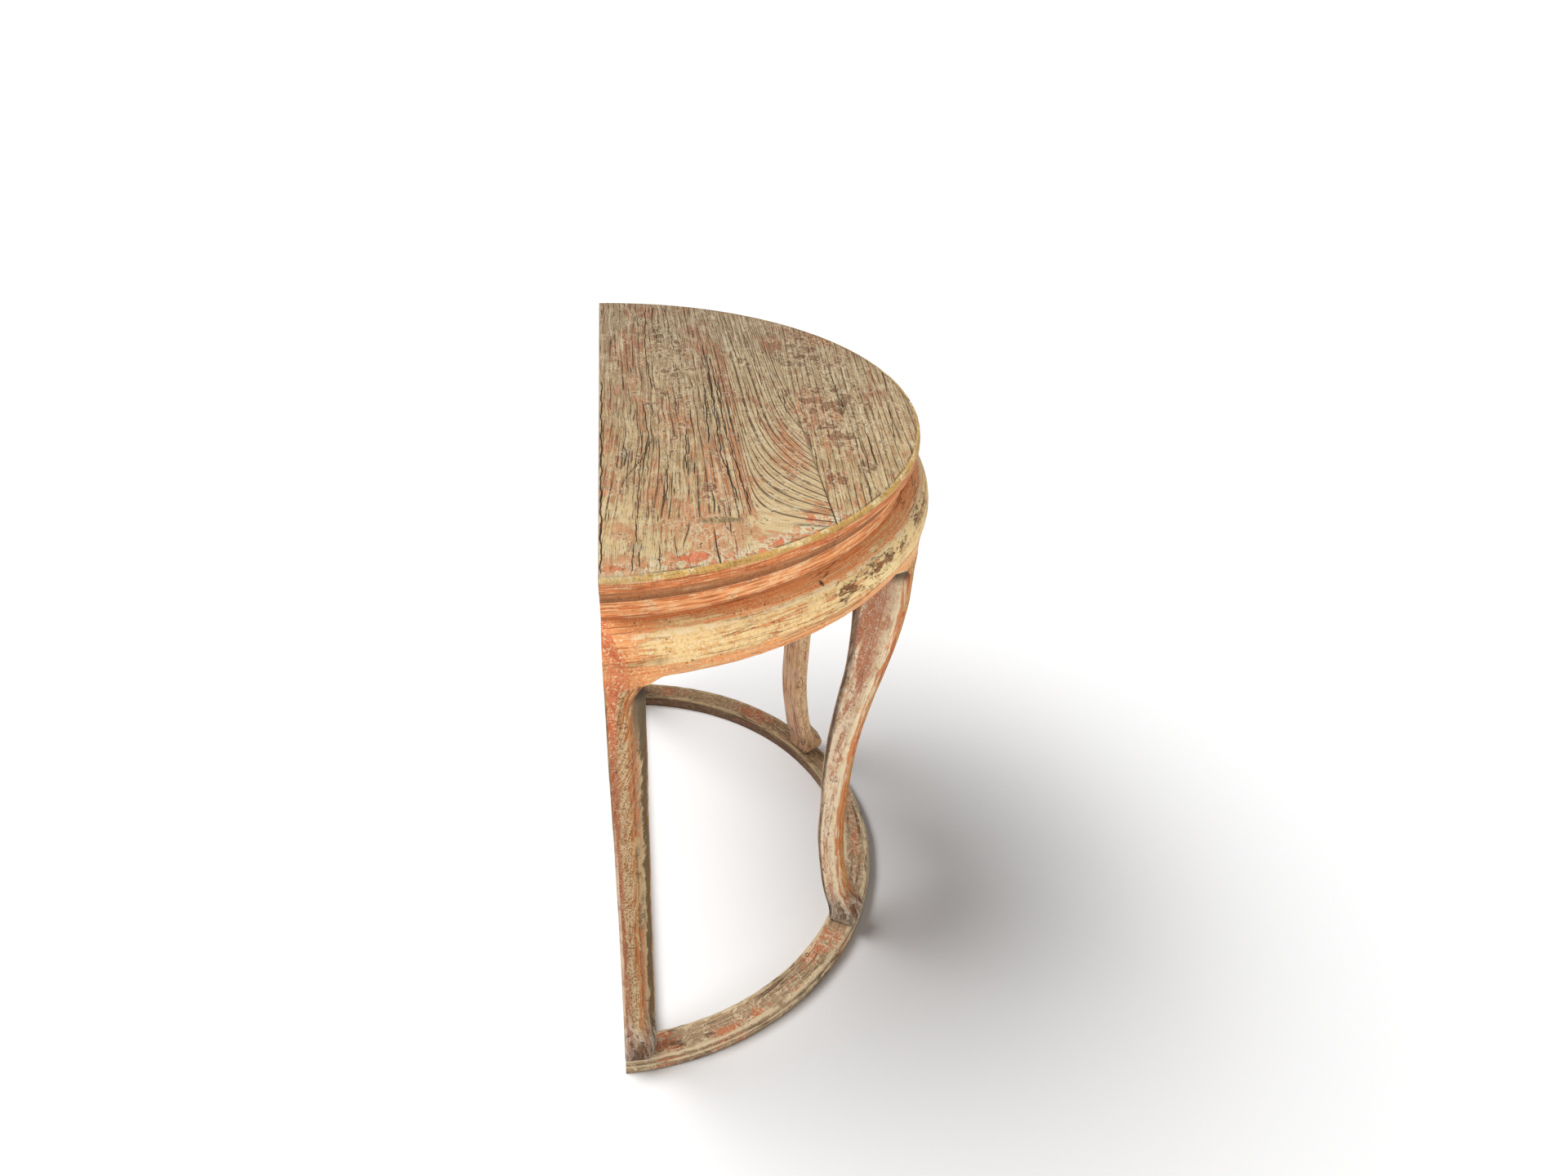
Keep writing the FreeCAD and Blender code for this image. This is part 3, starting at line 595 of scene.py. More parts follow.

    # Dirt at the foot, a painted shade line where the foot stands on the ring, painted shade and a painted
    # shadow on the sides under the apron, cracks and pits.
    pits = f.both(f.spots(f.place, (170, 170, 120), 0.13), f.step(fleck, 0.5, 0.6))
    tint = f.coat(tint, "4A3020", pits, 0.8)
    foot = f.layer(BASE_HIGH + 125 * MM, 24 * MM, (f.height, 1.0), (flake, 0.14))
    dirt = f.coats(
        "CEC0AE",
        ("7E7268", f.step(flake, 0.44, 0.5)),
        ("352E2A", f.step(fleck, 0.5, 0.55)),
        (f.mix("BC8656", "5A402A", f.step(fleck, 0.48, 0.56)), far_end, 0.8))
    tint = f.coat(tint, dirt, f.math("MULTIPLY", f.rest(foot), 0.75))
    # Painted shade: a dark line where the foot stands on the ring.
    stop = f.step(f.height, BASE_HIGH + 1 * MM, BASE_HIGH + 5 * MM, 1.0, 0.0)
    tint = f.coat(tint, "2E251C", stop, 0.7)
    below_apron = f.less(f.step(turn, 1.05, 1.4), wall)
    # Painted shade: the sides darken towards the apron, where its shade falls.
    apron_shade = f.step(f.sum((f.height, 1.0), (flake, 0.08)), APRON_LOW - 95 * MM, APRON_LOW + 15 * MM, 0.0, 0.9)
    tint = f.coat(tint, "62553F", below_apron, apron_shade, f.step(at_back, 0.0, 1.0, 0.3, 1.0))
    # Painted shadow: darkest right under the apron.
    under = f.step(f.height, APRON_LOW - 30 * MM, APRON_LOW - 10 * MM, 0.0, 0.85)
    tint = f.coat(tint, "302218", below_apron, under)
    hair = f.both(f.veins(f.grain, (3, 60, 1), 0.014, 3, 0.4), f.step(big, 0.4, 0.55))
    tint = f.coat(tint, "5A3826", hair, 0.35)

    # The shoulder carries on the apron's paint.
    shoulder, relief, _ = apron_layers(f, f.mark("apron_grain", "Vector"), tints)
    upright = f.coats(
        "D87E52",
        ("BE5E3A", f.step(f.sum((streak, 0.7), (fleck, 0.3)), 0.48, 0.57)),
        ("EDC496", f.step(grit, 0.55, 0.61)))
    near_wall = f.layer(0.9, 0.08, (f.mark("ends"), 0.5), (flake, 0.9))
    shoulder = f.coat(shoulder, upright, near_wall, 0.85)
    rising = f.layer(0.7, 0.05, (f.height, 1.0), (flake, 0.12))
    tint = f.coat(tint, upright, rising, f.both(wall, 0.8), f.step(turn, 1.2, 0.9))
    above = f.layer(APRON_LOW + 30 * MM, 5 * MM, (f.height, 1.0), (flake, 0.06))
    above = f.both(above, f.step(turn, 2.2, 1.8))
    tint = f.coat(tint, shoulder, above)
    height = f.sum((rubbed, -0.4), (salmon, 0.3), (streak, 0.4), (grit, 0.3), (pits, -0.8), (hair, -0.6),
                   (flake, 0.4), (f.both(above, relief), 0.5))
    return f.close(tint, f.step(fleck, 0.3, 0.7, 0.6, 0.85), height, 0.6 * MM)


def base_finish(tints):
    """Driftwood with red paint left in patches and pale scratched edges."""
    f = Finish("base_wood")
    big = f.cloud(11, 4, 0.6)
    flake = f.fibre(24, 140, 9, 0.74, 0.3)
    fleck = f.cloud(60, 8, 0.72)
    streak = f.fibre(11, 430, 4, 0.65)
    grit = f.cloud(300, 3, 0.65)
    tint = f.coats(
        tints.drift,
        ("BFA27E", f.step(f.sum((streak, 0.5), (flake, 0.5)), 0.48, 0.58)),
        ("6E573F", f.step(streak, 0.53, 0.62), 0.7),
        ("5E4A38", f.step(f.fibre(34, 240, 5, 0.7), 0.56, 0.62), 0.6))
    red = f.layer(1.34, 0.06, (flake, 0.8), (fleck, 0.8), (big, 0.8), (f.mark("red"), 0.3))
    paint = f.coat("BC6C46", "CE9270", f.step(f.sum((grit, 0.5), (fleck, 0.5)), 0.48, 0.58))
    tint = f.coat(tint, paint, red, 0.85)
    net = f.veins(f.place, (75, 75, 75), 0.045, 7, 0.5)
    tint = f.coat(tint, "DECAA8", net, f.step(fleck, 0.42, 0.56, 0.15, 0.75))
    edge = f.mark("edge")
    rubbed = f.layer(0.84, 0.04, (edge, 0.3), (f.fibre(30, 200, 6, 0.7), 0.8), (fleck, 0.4))
    tint = f.coat(tint, "DCC7A2", rubbed, 0.8)
    hair = f.both(f.veins(f.grain, (4, 80, 1), 0.016, 3, 0.4), f.step(big, 0.4, 0.55))
    tint = f.coat(tint, "4A3828", hair, 0.8)
    pits = f.both(f.spots(f.place, (120, 120, 120), 0.11), f.step(fleck, 0.46, 0.56))
    tint = f.coat(tint, "3A2B1E", pits, 0.8)
    low = f.step(f.height, 1 * MM, 6 * MM, 1.0, 0.0)
    tint = f.coat(tint, "5A4836", low, 0.6)

    # The far end: dusky red on the sides, and glazed greyer and darker all over as painted shade under the
    # top.
    far = f.step(f.along, 0.02, 0.2)
    sides = f.step(f.height, BASE_HIGH - 1 * MM, BASE_HIGH - 4 * MM)
    tint = f.coat(tint, "7C5A4C", sides, far, f.step(flake, 0.4, 0.56, 0.3, 0.75))
    # Painted shade on the far end.
    tint = f.glaze(tint, "CCC4BA", far)
    height = f.sum((streak, 0.6), (grit, 0.3), (hair, -0.9), (pits, -0.8), (red, 0.3), (net, 0.3))
    return f.close(tint, f.step(fleck, 0.3, 0.7, 0.65, 0.88), height, 0.7 * MM)


def inner_finish(name, base, dark):
    """Unfinished wood with its grain along X."""
    f = Finish(name)
    grain = f.noise(f.place, (6, 110, 150), 4, 0.6, 0.2)
    fine = f.noise(f.place, (14, 420, 480), 3, 0.6)
    dirt = f.noise(f.place, (14, 20, 20), 5, 0.6)
    tint = f.coats(
        base,
        (dark, f.step(grain, 0.42, 0.66)),
        (dark, f.step(fine, 0.54, 0.7), 0.6),
        ("4E3B28", f.step(dirt, 0.52, 0.72), 0.6))
    height = f.sum((grain, 0.6), (fine, 0.5))
    return f.close(tint, f.step(dirt, 0.3, 0.7, 0.7, 0.9), height, 0.5 * MM)


def add_object(name, data):
    """A new object in the scene."""
    obj = bpy.data.objects.new(name, data)
    bpy.context.scene.collection.objects.link(obj)
    return obj


def place_piece(obj, node):
    """Puts a finished piece in the frame in place of its node."""
    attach(obj, "root")
    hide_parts(node)


def set_marks(mesh, marks):
    """Stores values per vertex for the material."""
    for name, values in marks.items():
        layer = mesh.attributes.new(name, "FLOAT", "POINT")
        layer.data.foreach_set("value", np.ascontiguousarray(values, dtype=np.float32).ravel())


def set_grain(mesh, name, values):
    """Stores a grain vector per vertex."""
    layer = mesh.attributes.new(name, "FLOAT_VECTOR", "POINT")
    layer.data.foreach_set("vector", np.ascontiguousarray(values, dtype=np.float32).ravel())


def mesh_points(obj):
    """All vertices of a mesh object."""
    points = np.empty(len(obj.data.vertices) * 3)
    obj.data.vertices.foreach_get("co", points)
    return points.reshape(-1, 3)


def move_points(obj, points):
    """Puts the vertices of a mesh object in new places."""
    obj.data.vertices.foreach_set("co", points.ravel())
    obj.data.update()


def ramp(value, start, span):
    """From 0 to 1 while the value goes on from the start by the span."""
    return np.clip((value - start) / span, 0, 1)


def unit(vectors):
    """The same vectors with a length of 1."""
    return vectors / np.maximum(np.linalg.norm(vectors, axis=-1, keepdims=True), TINY)


def polar(points):
    """Angle round the half circle from its right end, from 180 to 360 degrees in radians, and the radius."""
    ahead = np.minimum(points[:, 1] - BACK, -TINY)
    return np.arctan2(ahead, points[:, 0]) % (2 * math.pi), np.hypot(points[:, 0], ahead)


def tidy_mesh(mesh, angle):
    """Welds, turns faces outward, splits many-sided faces and keeps edges sharper than the angle crisp."""
    work = bmesh.new()
    work.from_mesh(mesh)
    bmesh.ops.remove_doubles(work, verts=work.verts, dist=WELD_GAP)
    bmesh.ops.dissolve_degenerate(work, edges=work.edges, dist=SLIVER_WIDTH)
    bmesh.ops.triangulate(work, faces=[face for face in work.faces if len(face.verts) > 4])
    bmesh.ops.recalc_face_normals(work, faces=work.faces)
    for face in work.faces:
        face.smooth = True
    work.to_mesh(mesh)
    work.free()
    mesh.set_sharp_from_angle(angle=math.radians(angle))


def tube(name, loops, first, last, marks, material, angle=38):
    """A closed piece from rows of points, each row a closed loop. First and last give the grain at the start
    and the end of each face along its row."""
    rows, columns = loops.shape[:2]
    i, j = np.meshgrid(np.arange(rows - 1), np.arange(columns), indexing="ij")
    after = (j + 1) % columns
    here = i * columns
    above = here + columns
    faces = np.stack([here + j, here + after, above + after, above + j], -1).reshape(-1, 4).tolist()
    faces.append(list(range(columns - 1, -1, -1)))
    faces.append(list(range((rows - 1) * columns, rows * columns)))
    corners = np.stack([first[:-1], last[:-1], last[1:], first[1:]], 2).reshape(-1, 3)
    corners = np.concatenate([corners, first[0][::-1], first[-1]])
    mesh = bpy.data.meshes.new(name)
    mesh.from_pydata(loops.reshape(-1, 3).tolist(), [], faces)
    layer = mesh.attributes.new("grain", "FLOAT_VECTOR", "CORNER")
    layer.data.foreach_set("vector", np.ascontiguousarray(corners, dtype=np.float32).ravel())
    set_marks(mesh, marks)
    mesh.materials.append(material)
    tidy_mesh(mesh, angle)
    return add_object(name, mesh)


def rough_noise(points, scale, seed):
    """Smooth noise from -1 to 1 at each point."""
    shift = Vector((seed * 3.7, seed * 1.9, seed * 5.3))
    flat = points.reshape(-1, 3)
    values = [noise.noise(Vector(point) * scale + shift) for point in flat.tolist()]
    return np.array(values).reshape(points.shape[:-1])


def blobs(x, y, places):
    """Soft spots from 0 to 1. Each place is its middle, half widths and strength, in millimetres."""
    total = np.zeros_like(x)
    for middle_x, middle_y, wide, high, strength in places:
        away = ((x / MM - middle_x) / wide) ** 2 + ((y / MM - middle_y) / high) ** 2
        total = np.maximum(total, strength * np.exp(-away))
    return total


# Patches of the top: middle along the back, depth from the back, half widths and strength, in millimetres.
RED_PATCHES = [
    (-425, 25, 18, 28, 1), (-408, 110, 16, 34, 1), (-345, 115, 70, 44, 0.75), (-250, 12, 24, 10, 0.9),
    (-215, 145, 110, 16, 0.75), (-165, 178, 165, 8, 0.95), (90, 187, 125, 7, 0.95),
    (-145, 247, 70, 19, 0.95), (-10, 17, 170, 14, 0.5), (222, 42, 75, 30, 0.9), (398, 86, 30, 26, 1),
    (-25, 308, 60, 34, 0.95), (-240, 290, 20, 9, 0.9), (-130, 330, 55, 25, 0.55), (-338, 255, 18, 16, 1),
    (-380, 204, 16, 18, 1), (-250, 72, 90, 12, 0.7), (-40, 96, 70, 26, 0.5), (250, 158, 75, 26, 0.7),
    (260, 282, 45, 18, 0.7), (240, 345, 40, 24, 0.8), (-20, 60, 120, 14, 0.5)]
CORAL_PATCHES = [
    (-412, 108, 18, 38, 1), (-428, 20, 14, 26, 0.8), (-382, 204, 13, 16, 0.9), (-338, 252, 15, 15, 1),
    (-252, 11, 20, 9, 0.8), (-370, 130, 26, 40, 0.6), (-60, 318, 26, 14, 0.5), (0, 326, 24, 10, 0.5),
    (-240, 288, 16, 8, 0.8), (-345, 115, 75, 48, 0.5), (-300, 150, 60, 26, 0.5), (-240, 70, 70, 14, 0.4)]
WORM_PATCHES = [
    (-120, 318, 26, 14, 1), (-235, 294, 28, 12, 1), (-210, 341, 17, 10, 1), (-66, 284, 20, 10, 0.9),
    (3, 291, 24, 10, 1), (22, 356, 14, 8, 1), (90, 338, 14, 8, 1), (-75, 366, 16, 11, 0.9),
    (140, 287, 20, 12, 0.9), (166, 222, 22, 10, 0.9), (-69, 112, 13, 8, 0.9), (290, 94, 26, 9, 0.9),
    (230, 119, 36, 8, 0.9), (70, 153, 12, 6, 0.8), (132, 100, 9, 9, 0.8), (-290, 148, 12, 7, 0.8),
    (-40, 330, 150, 60, 0.45), (190, 330, 120, 60, 0.4), (120, 110, 200, 60, 0.3),
    (-255, 138, 26, 14, 0.6)]
GREY_PATCHES = [
    (-150, 34, 36, 14, 1), (-386, 38, 14, 24, 1), (35, 285, 24, 17, 1), (92, 278, 28, 10, 1),
    (95, 368, 26, 15, 1), (360, 28, 75, 20, 0.9), (-331, 140, 12, 46, 1.4), (95, 256, 36, 20, 0.9),
    (250, 330, 70, 40, 0.6), (60, 395, 160, 30, 0.7)]
# Long cracks of the top: points as distance along the back and depth from it, then the crack's half width.
LONG_CRACKS = [
    ([(-445, 34), (-365, 42), (-225, 50), (-170, 54)], 0.9),
    ([(-245, 25), (-200, 40), (-165, 55), (-105, 70)], 1.1), ([(-150, 60), (-100, 66), (25, 62)], 1.2),
    ([(-285, 80), (-180, 88)], 1.4), ([(-215, 60), (-100, 68)], 1.0),
    ([(-200, 110), (-140, 113), (-70, 119)], 1.3), ([(-130, 145), (-40, 149), (75, 154)], 1.5),
    ([(-290, 168), (-160, 158), (-30, 161), (150, 166)], 1.6),
    ([(-320, 180), (-100, 171), (190, 172)], 1.3), ([(-90, 222), (-20, 220)], 1.2),
    ([(-40, 262), (60, 267)], 1.1), ([(-210, 355), (-90, 362)], 1.3), ([(-30, 345), (140, 350)], 1.3),
    ([(-135, 395), (0, 415)], 1.0), ([(50, 77), (220, 72), (430, 80)], 1.1),
    ([(-440, 65), (-370, 70)], 0.9), ([(-440, 3), (100, 4)], 1.6), ([(-20, 172), (110, 178)], 1.2),
    ([(150, 215), (330, 208)], 0.9), ([(60, 240), (300, 236)], 0.9), ([(200, 118), (420, 112)], 0.8),
    ([(-430, 45), (-395, 44), (-375, 50)], 1.3), ([(-405, 20), (-392, 34), (-386, 56)], 1.1),
    ([(-190, 30), (-150, 36), (-120, 33)], 1.2), ([(-180, 42), (-140, 44)], 1.0)]
# Where the back board's grain sweeps round: a line's depth in the middle of the table, the place along the
# back where it meets the seam, and how long its bend is.
SWEEP = np.array([(172, -359, 13), (183, -359, 13), (200, -281, 78), (243, -169, 70), (260, -60, 70),
                  (274, 60, 70)]) * MM
SWEEP_FADE = 182 * MM
# Growth rings counted forward from the back edge, at depths in the middle of the table.
RING_DEPTHS = np.array([0, 165, 183, 200, 243, 260, 274, 450]) * MM
RING_COUNTS = (0, 18, 21, 26, 32, 37, 41, 61)
# Short cracks of each board: span along the back, span of grain lines, how many, and their half widths.
BACK_CRACKS = [
    (-430, 430, 5, 274, 130, 0.5, 0.95), (-330, 20, 25, 130, 30, 0.5, 1.0),
    (-300, 230, 140, 183, 22, 0.6, 1.1)]
FRONT_CRACKS = [(-430, 430, 276, 450, 100, 0.5, 0.95)]
# How far the search for a grain line reaches past the board, and its steps.
SEARCH_REACH = 80 * MM
SEARCH_STEPS = 30
# How far grain lines lean forward at the near end by the back edge, and how high their waves are.
NEAR_LEAN = 25 * MM
GRAIN_WAVE = 0.9 * MM
# Where growth rings fade out along the back: at the far end, and at the near end by the back and the seam.
RINGS_FAR = 330 * MM
RINGS_NEAR = (-330 * MM, -372 * MM)
RINGS_FADE = 14 * MM
# Length over which a long crack closes at its ends.
CRACK_TAPER = 18 * MM
# How far coral paint reaches in from the rim at the near end, and where along the back it ends.
CORAL_MARGIN = 38 * MM
CORAL_END = -295 * MM
# The boards' columns of points crowd towards the near end, where the grain is steep.
NEAR_END_CROWDING = 1.35
# Columns of points across the underside, and how far towards the bow the front board's rows reach.
UNDER_COLUMNS = 10
BOW_STOP = 0.985
# How far each board stays from the seam's line, how deep the near corner is chipped, and how wavy the rim is.
BOARD_GAP = 0.1 * MM
CHIP_DEPTH = 2.2 * MM
RIM_WAVE = 0.8 * MM


def grain_across(x, depth):
    """The grain line on which a point of the top lies, named by its depth in the middle of the table."""
    low = np.zeros_like(x) - SEARCH_REACH
    high = depth + SEARCH_REACH
    for _ in range(SEARCH_STEPS):
        line = (low + high) / 2
        meets = np.interp(line, SWEEP[:, 0], SWEEP[:, 1])
        bend = np.clip(SEAM - line, 0, None) * ramp(line, SWEEP[0, 0], SWEEP[1, 0] - SWEEP[0, 0]) ** 2
        ahead = np.clip((x - meets) / np.interp(line, SWEEP[:, 0], SWEEP[:, 2]), -3.0, 40)
        bend = bend * np.exp(-ahead - (np.clip(x - meets, 0, None) / SWEEP_FADE) ** 2)
        over = line + bend > depth
        high = np.where(over, line, high)
        low = np.where(over, low, line)
    line = (low + high) / 2
    lean = NEAR_LEAN * ramp(-x / MM, 100, 350) * ramp(-depth / MM, -150, 60)
    wavy = GRAIN_WAVE * np.sin(x * 41 + 2.2 * np.sin(x * 13) + depth * 95)
    wavy = wavy * ramp(-depth, -170 * MM, 50 * MM)
    return np.where(depth > SEAM, depth - 0.075 * x, line + lean + wavy)


def ring_strength(x, line):
    """How clearly the growth rings show, from 0 to 1: most where the grain sweeps round."""
    swept = ramp(line / MM, 140, 35) * ramp(-x, -RINGS_FAR, RINGS_FAR)
    shown = np.where(line > SEAM + 3 * MM, 0.55, 0.4 + 0.6 * swept)
    near_end = np.where(line < SWEEP[1, 0] - 1 * MM, *RINGS_NEAR)
    return shown * ramp(x, near_end, RINGS_FADE)


def crack_field(x, depth, line, seed, zones):
    """How deep each point of the top lies in a crack, from 0 to 1."""
    draw = np.random.default_rng(seed)
    total = np.zeros_like(x)
    step = np.gradient(x, axis=1)
    slope = np.gradient(line - depth, axis=1) / np.where(np.abs(step) < TINY, 1.0, step)
    calm = np.clip(1.6 - np.abs(slope) / 0.16, 0, 1)
    for points, half in LONG_CRACKS:
        path = np.array(sorted(points)) * MM
        inside = ramp(np.minimum(x - path[0, 0], path[-1, 0] - x), 0, CRACK_TAPER)
        wobble = 0.7 * MM * np.sin(x * 95 + half * 40) + 0.5 * MM * np.sin(x * 210 + half * 11)
        away = np.abs(depth - np.interp(x, path[:, 0], path[:, 1]) - wobble)
        profile = np.clip(1 - (away / (half * MM * 0.62)) ** 2, 0, 1)
        total = np.maximum(total, calm * np.sqrt(inside) * profile)
    for left, right, near, far, count, thin, thick in zones:
        for _ in range(count):
            middle = draw.uniform(left, right) * MM
            at = draw.uniform(near, far) * MM
            half_length = min(max(draw.lognormal(3.2, 0.55), 9), 110) * MM
            half_width = draw.uniform(thin, thick) * MM
            strength = draw.uniform(0.35, 0.95)
            lean = draw.normal(0, 0.02)
            phase = draw.uniform(0, 6.3)
            taper = calm * np.sqrt(np.clip(1 - ((x - middle) / half_length) ** 2, 0, 1))
            wobble = 0.8 * MM * np.sin((x - middle) * 70 + phase) + lean * (x - middle)
            away = np.abs(line - at - wobble) / (half_width * (0.4 + 0.6 * taper))
            total = np.maximum(total, strength * taper * np.clip(1 - away ** 2, 0, 1))
    return total


def rim_profile(sizes):
    """Radius, height and distance down the rim, from the flat of the top to its underside."""
    arris = sizes.rim_arris
    points = []
    for turn in np.linspace(0, math.pi / 2, 7):
        radius = sizes.top_radius - arris + arris * math.sin(turn)
        points.append((radius, TOP_HIGH - arris + arris * math.cos(turn)))
    face_low = TOP_HIGH - arris - sizes.rim_face
    for height in np.linspace(TOP_HIGH - arris, face_low, 6)[1:]:
        points.append((sizes.top_radius, height))
    for share in np.linspace(0, 1, 11)[1:]:
        radius = sizes.top_radius - sizes.cove_reach * share - sizes.cove_hollow * math.sin(math.pi * share)
        points.append((radius, face_low + (TOP_LOW - face_low) * share))
    points = np.array(points)
    down = np.concatenate([[0], np.cumsum(np.hypot(*np.diff(points, axis=0).T))])
    return points[:, 0], points[:, 1], down


def make_board(name, sizes, material, is_front, rows, columns, seed):
    """One board of the top. Each row along the back is a closed loop over top, rim and underside."""
    radius, height, down = rim_profile(sizes)
    count = len(radius)
    seam_angle = np.arcsin(SEAM / radius)
    share = np.linspace(0, 1, rows)[:, None]
    angle = seam_angle + share * BOW_STOP * (math.pi / 2 - seam_angle) if is_front else share * seam_angle
    left = np.stack([-radius * np.cos(angle), radius * np.sin(angle), height + 0 * angle], -1)
    right = left * (-1, 1, 1)
    across = np.linspace(0, 1, columns + 2)[1:-1] ** NEAR_END_CROWDING
    top = left[:, :1] * (1 - across[None, :, None]) + right[:, :1] * across[None, :, None]
    under_share = np.linspace(0, 1, UNDER_COLUMNS + 2)[1:-1]
    under = right[:, -1:] * (1 - under_share[None, :, None]) + left[:, -1:] * under_share[None, :, None]
    loops = np.concatenate([left[:, ::-1], top, right, under], 1)
    x = loops[..., 0].copy()
    depth = loops[..., 1].copy()
    column = np.arange(loops.shape[1])
    on_top = ((column >= count - 1) & (column <= count + columns))[None]
    below = (column > 2 * count + columns - 1)[None]
    distance = [down[::-1], np.zeros(columns), down, np.full(UNDER_COLUMNS, down[-1] + 5 * MM)]
    rim = np.where(on_top, np.hypot(x, depth) - radius[0], np.concatenate(distance)[None])

    # Shape: cracks, grain ridges, a sunk seam, a soft back edge, a wavy rim and a chipped corner.
    line = grain_across(x, depth)
    crack = crack_field(x, depth, line, seed, FRONT_CRACKS if is_front else BACK_CRACKS)
    from_seam = np.abs(depth - SEAM)
    open_seam = 0.18 + 0.7 * ramp(-x, 230 * MM, 90 * MM) + 0.2 * np.sin(x * 31) * np.sin(x * 13 + 1)
    open_seam = open_seam * np.exp(-(from_seam / (0.7 * MM)) ** 2)
    crack = np.where(on_top, np.maximum(crack, open_seam), 0.0)
    drop = sizes.crack_depth * crack + sizes.seam_drop * np.exp(-from_seam / (1.5 * MM))
    drop = drop + 1.2 * MM * np.exp(-depth / (1.2 * MM))
    upper = np.stack([x * 0.5, line * 7, np.zeros_like(x)], -1)
    ridges = rough_noise(upper, 14, seed) * 0.28 * MM + rough_noise(upper, 38, seed + 1) * 0.16 * MM
    sway = rough_noise(np.stack([x, depth, np.zeros_like(x)], -1), 7, seed + 2) * 0.5 * MM
    loops[..., 2] += np.where(on_top, ridges + sway - drop, 0.0)
    turn = np.arctan2(depth, -x)
    chip = np.exp(-((np.degrees(turn) - 3) / 3.2) ** 2) * np.clip(1 - np.abs(rim) / (14 * MM), 0, 1)
    edge = np.stack([x, depth, loops[..., 2]], -1)
    wave = rough_noise(edge, 22, seed + 3) * 0.5 + rough_noise(edge, 70, seed + 4) * 0.35
    wave = wave * RIM_WAVE * ramp(rim, 0, 5 * MM)
    pull = np.where(on_top | below, 0.0, wave - chip * CHIP_DEPTH)
    around = np.maximum(np.hypot(x, depth), TINY)
    loops[..., 0] += x / around * pull
    loops[..., 1] += depth / around * pull
    if is_front:
        loops[..., 1] = np.maximum(loops[..., 1], SEAM + BOARD_GAP)
    else:
        loops[..., 1] = np.clip(loops[..., 1], 0.0, SEAM - BOARD_GAP)
    loops[..., 1] = BACK - loops[..., 1]

    # Grain for the material: along the back on the boards, round the curve on the rim.
    none = np.zeros_like(x)
    flat = np.stack([x, line, none], -1)
    side = np.stack([turn * sizes.top_radius, 2 + rim, none], -1)
    bottom = np.stack([x, depth + 4, none], -1)
    first_top = (column >= count - 1) & (column < count + columns)
    first_low = column >= 2 * count + columns - 1
    pick = np.where(first_top, 1, np.where(first_low, 2, 0))[None, :, None]
    following = [np.roll(layer, -1, axis=1) for layer in (flat, side, bottom)]
    first = np.where(pick == 1, flat, np.where(pick == 2, bottom, side))
    last = np.where(pick == 1, following[0], np.where(pick == 2, following[2], following[1]))
    by_rim = 0.72 * np.exp(-((radius[0] - np.hypot(x, depth)) / CORAL_MARGIN) ** 2)
    by_rim = by_rim * ramp(-x, -CORAL_END, CORAL_MARGIN)
    marks = {
        "crack": crack, "rim": rim, "chip": chip, "ring": ring_strength(x, line),
        "year": np.interp(line, RING_DEPTHS, RING_COUNTS),
        "red": blobs(x, depth, RED_PATCHES), "coral": np.maximum(blobs(x, depth, CORAL_PATCHES), by_rim),
        "worm": blobs(x, depth, WORM_PATCHES), "grey": blobs(x, depth, GREY_PATCHES)}
    return tube(name, loops, first, last, marks, material)


# Height share, share of the inward swing, share of the depth gained to the knee, and chamfer share of a leg.
LEG_STATIONS = np.array([
    (0, -.040, .150, .20), (.017, -.140, .270, .20), (.044, -.010, .240, .45), (.079, .360, .110, .85),
    (.122, .585, .070, 1), (.171, .760, .055, 1), (.249, .935, .075, 1), (.348, 1, .070, 1),
    (.448, .980, .165, 1), (.547, .869, .245, 1), (.646, .640, .348, 1), (.745, .333, .500, 1),
    (.830, .119, .696, 1), (.911, .002, .891, 1), (.958, 0, .958, 1), (.984, 0, .986, .68), (1, 0, 1, .10)])
# Shares of a leg's height at which its sections are drawn, closer at the foot and under the apron.
SHAFT_SHARES = np.concatenate([np.linspace(0, 0.04, 22)[:-1], np.linspace(0.04, 0.94, 180)[:-1],
                               np.linspace(0.94, 1, 24)])
# Lengths of a leg. Pairs are the height and depth of the foot's rounding, the depth of the heel's hollow with
# the height share over which it fades, and the width and depth of each chamfer.
FOOT_ROUND = (14 * MM, 4.5 * MM)
HEEL_HOLLOW = (22 * MM, 0.055)
FOOT_REACH = 443 * MM
KNEE_REACH = 473.5 * MM
LEG_SWING = 45 * MM
ANKLE_DEPTH = 33 * MM
KNEE_DEPTH = 79 * MM
OUTER_CHAMFER = (20 * MM, 7.5 * MM)
INNER_CHAMFER = (6 * MM, 5 * MM)
BACK_ARRIS = (1.5 * MM, 1.5 * MM)
POST_INNER = 394.5 * MM
POST_OUTER = 416.8 * MM
TIP_WIDTH = 8 * MM
SHOULDER_PROUD = 0.4 * MM
APRON_SEED = 11.0
# Points along the eight sides of a leg's section, starting with the side after the outer face's high corner.
SIDE_POINTS = (6, 14, 5, 10, 5, 14, 6, 12)


def smooth_curve(at, known, values):
    """A smooth curve through known values, read at other places."""
    slope = np.gradient(values, known)
    k = np.clip(np.searchsorted(known, at) - 1, 0, len(known) - 2)
    span = known[k + 1] - known[k]
    t = (at - known[k]) / span
    return ((2 * t ** 3 - 3 * t ** 2 + 1) * values[k] + (t ** 3 - 2 * t ** 2 + t) * span * slope[k]
            + (3 * t ** 2 - 2 * t ** 3) * values[k + 1] + (t ** 3 - t ** 2) * span * slope[k + 1])


def bowed(reach, across, share):
    """A reach drawn back, by a share, to the curve of the apron's face at that place across the leg."""
    return reach - share * (reach - math.sqrt(reach ** 2 - across ** 2)), across


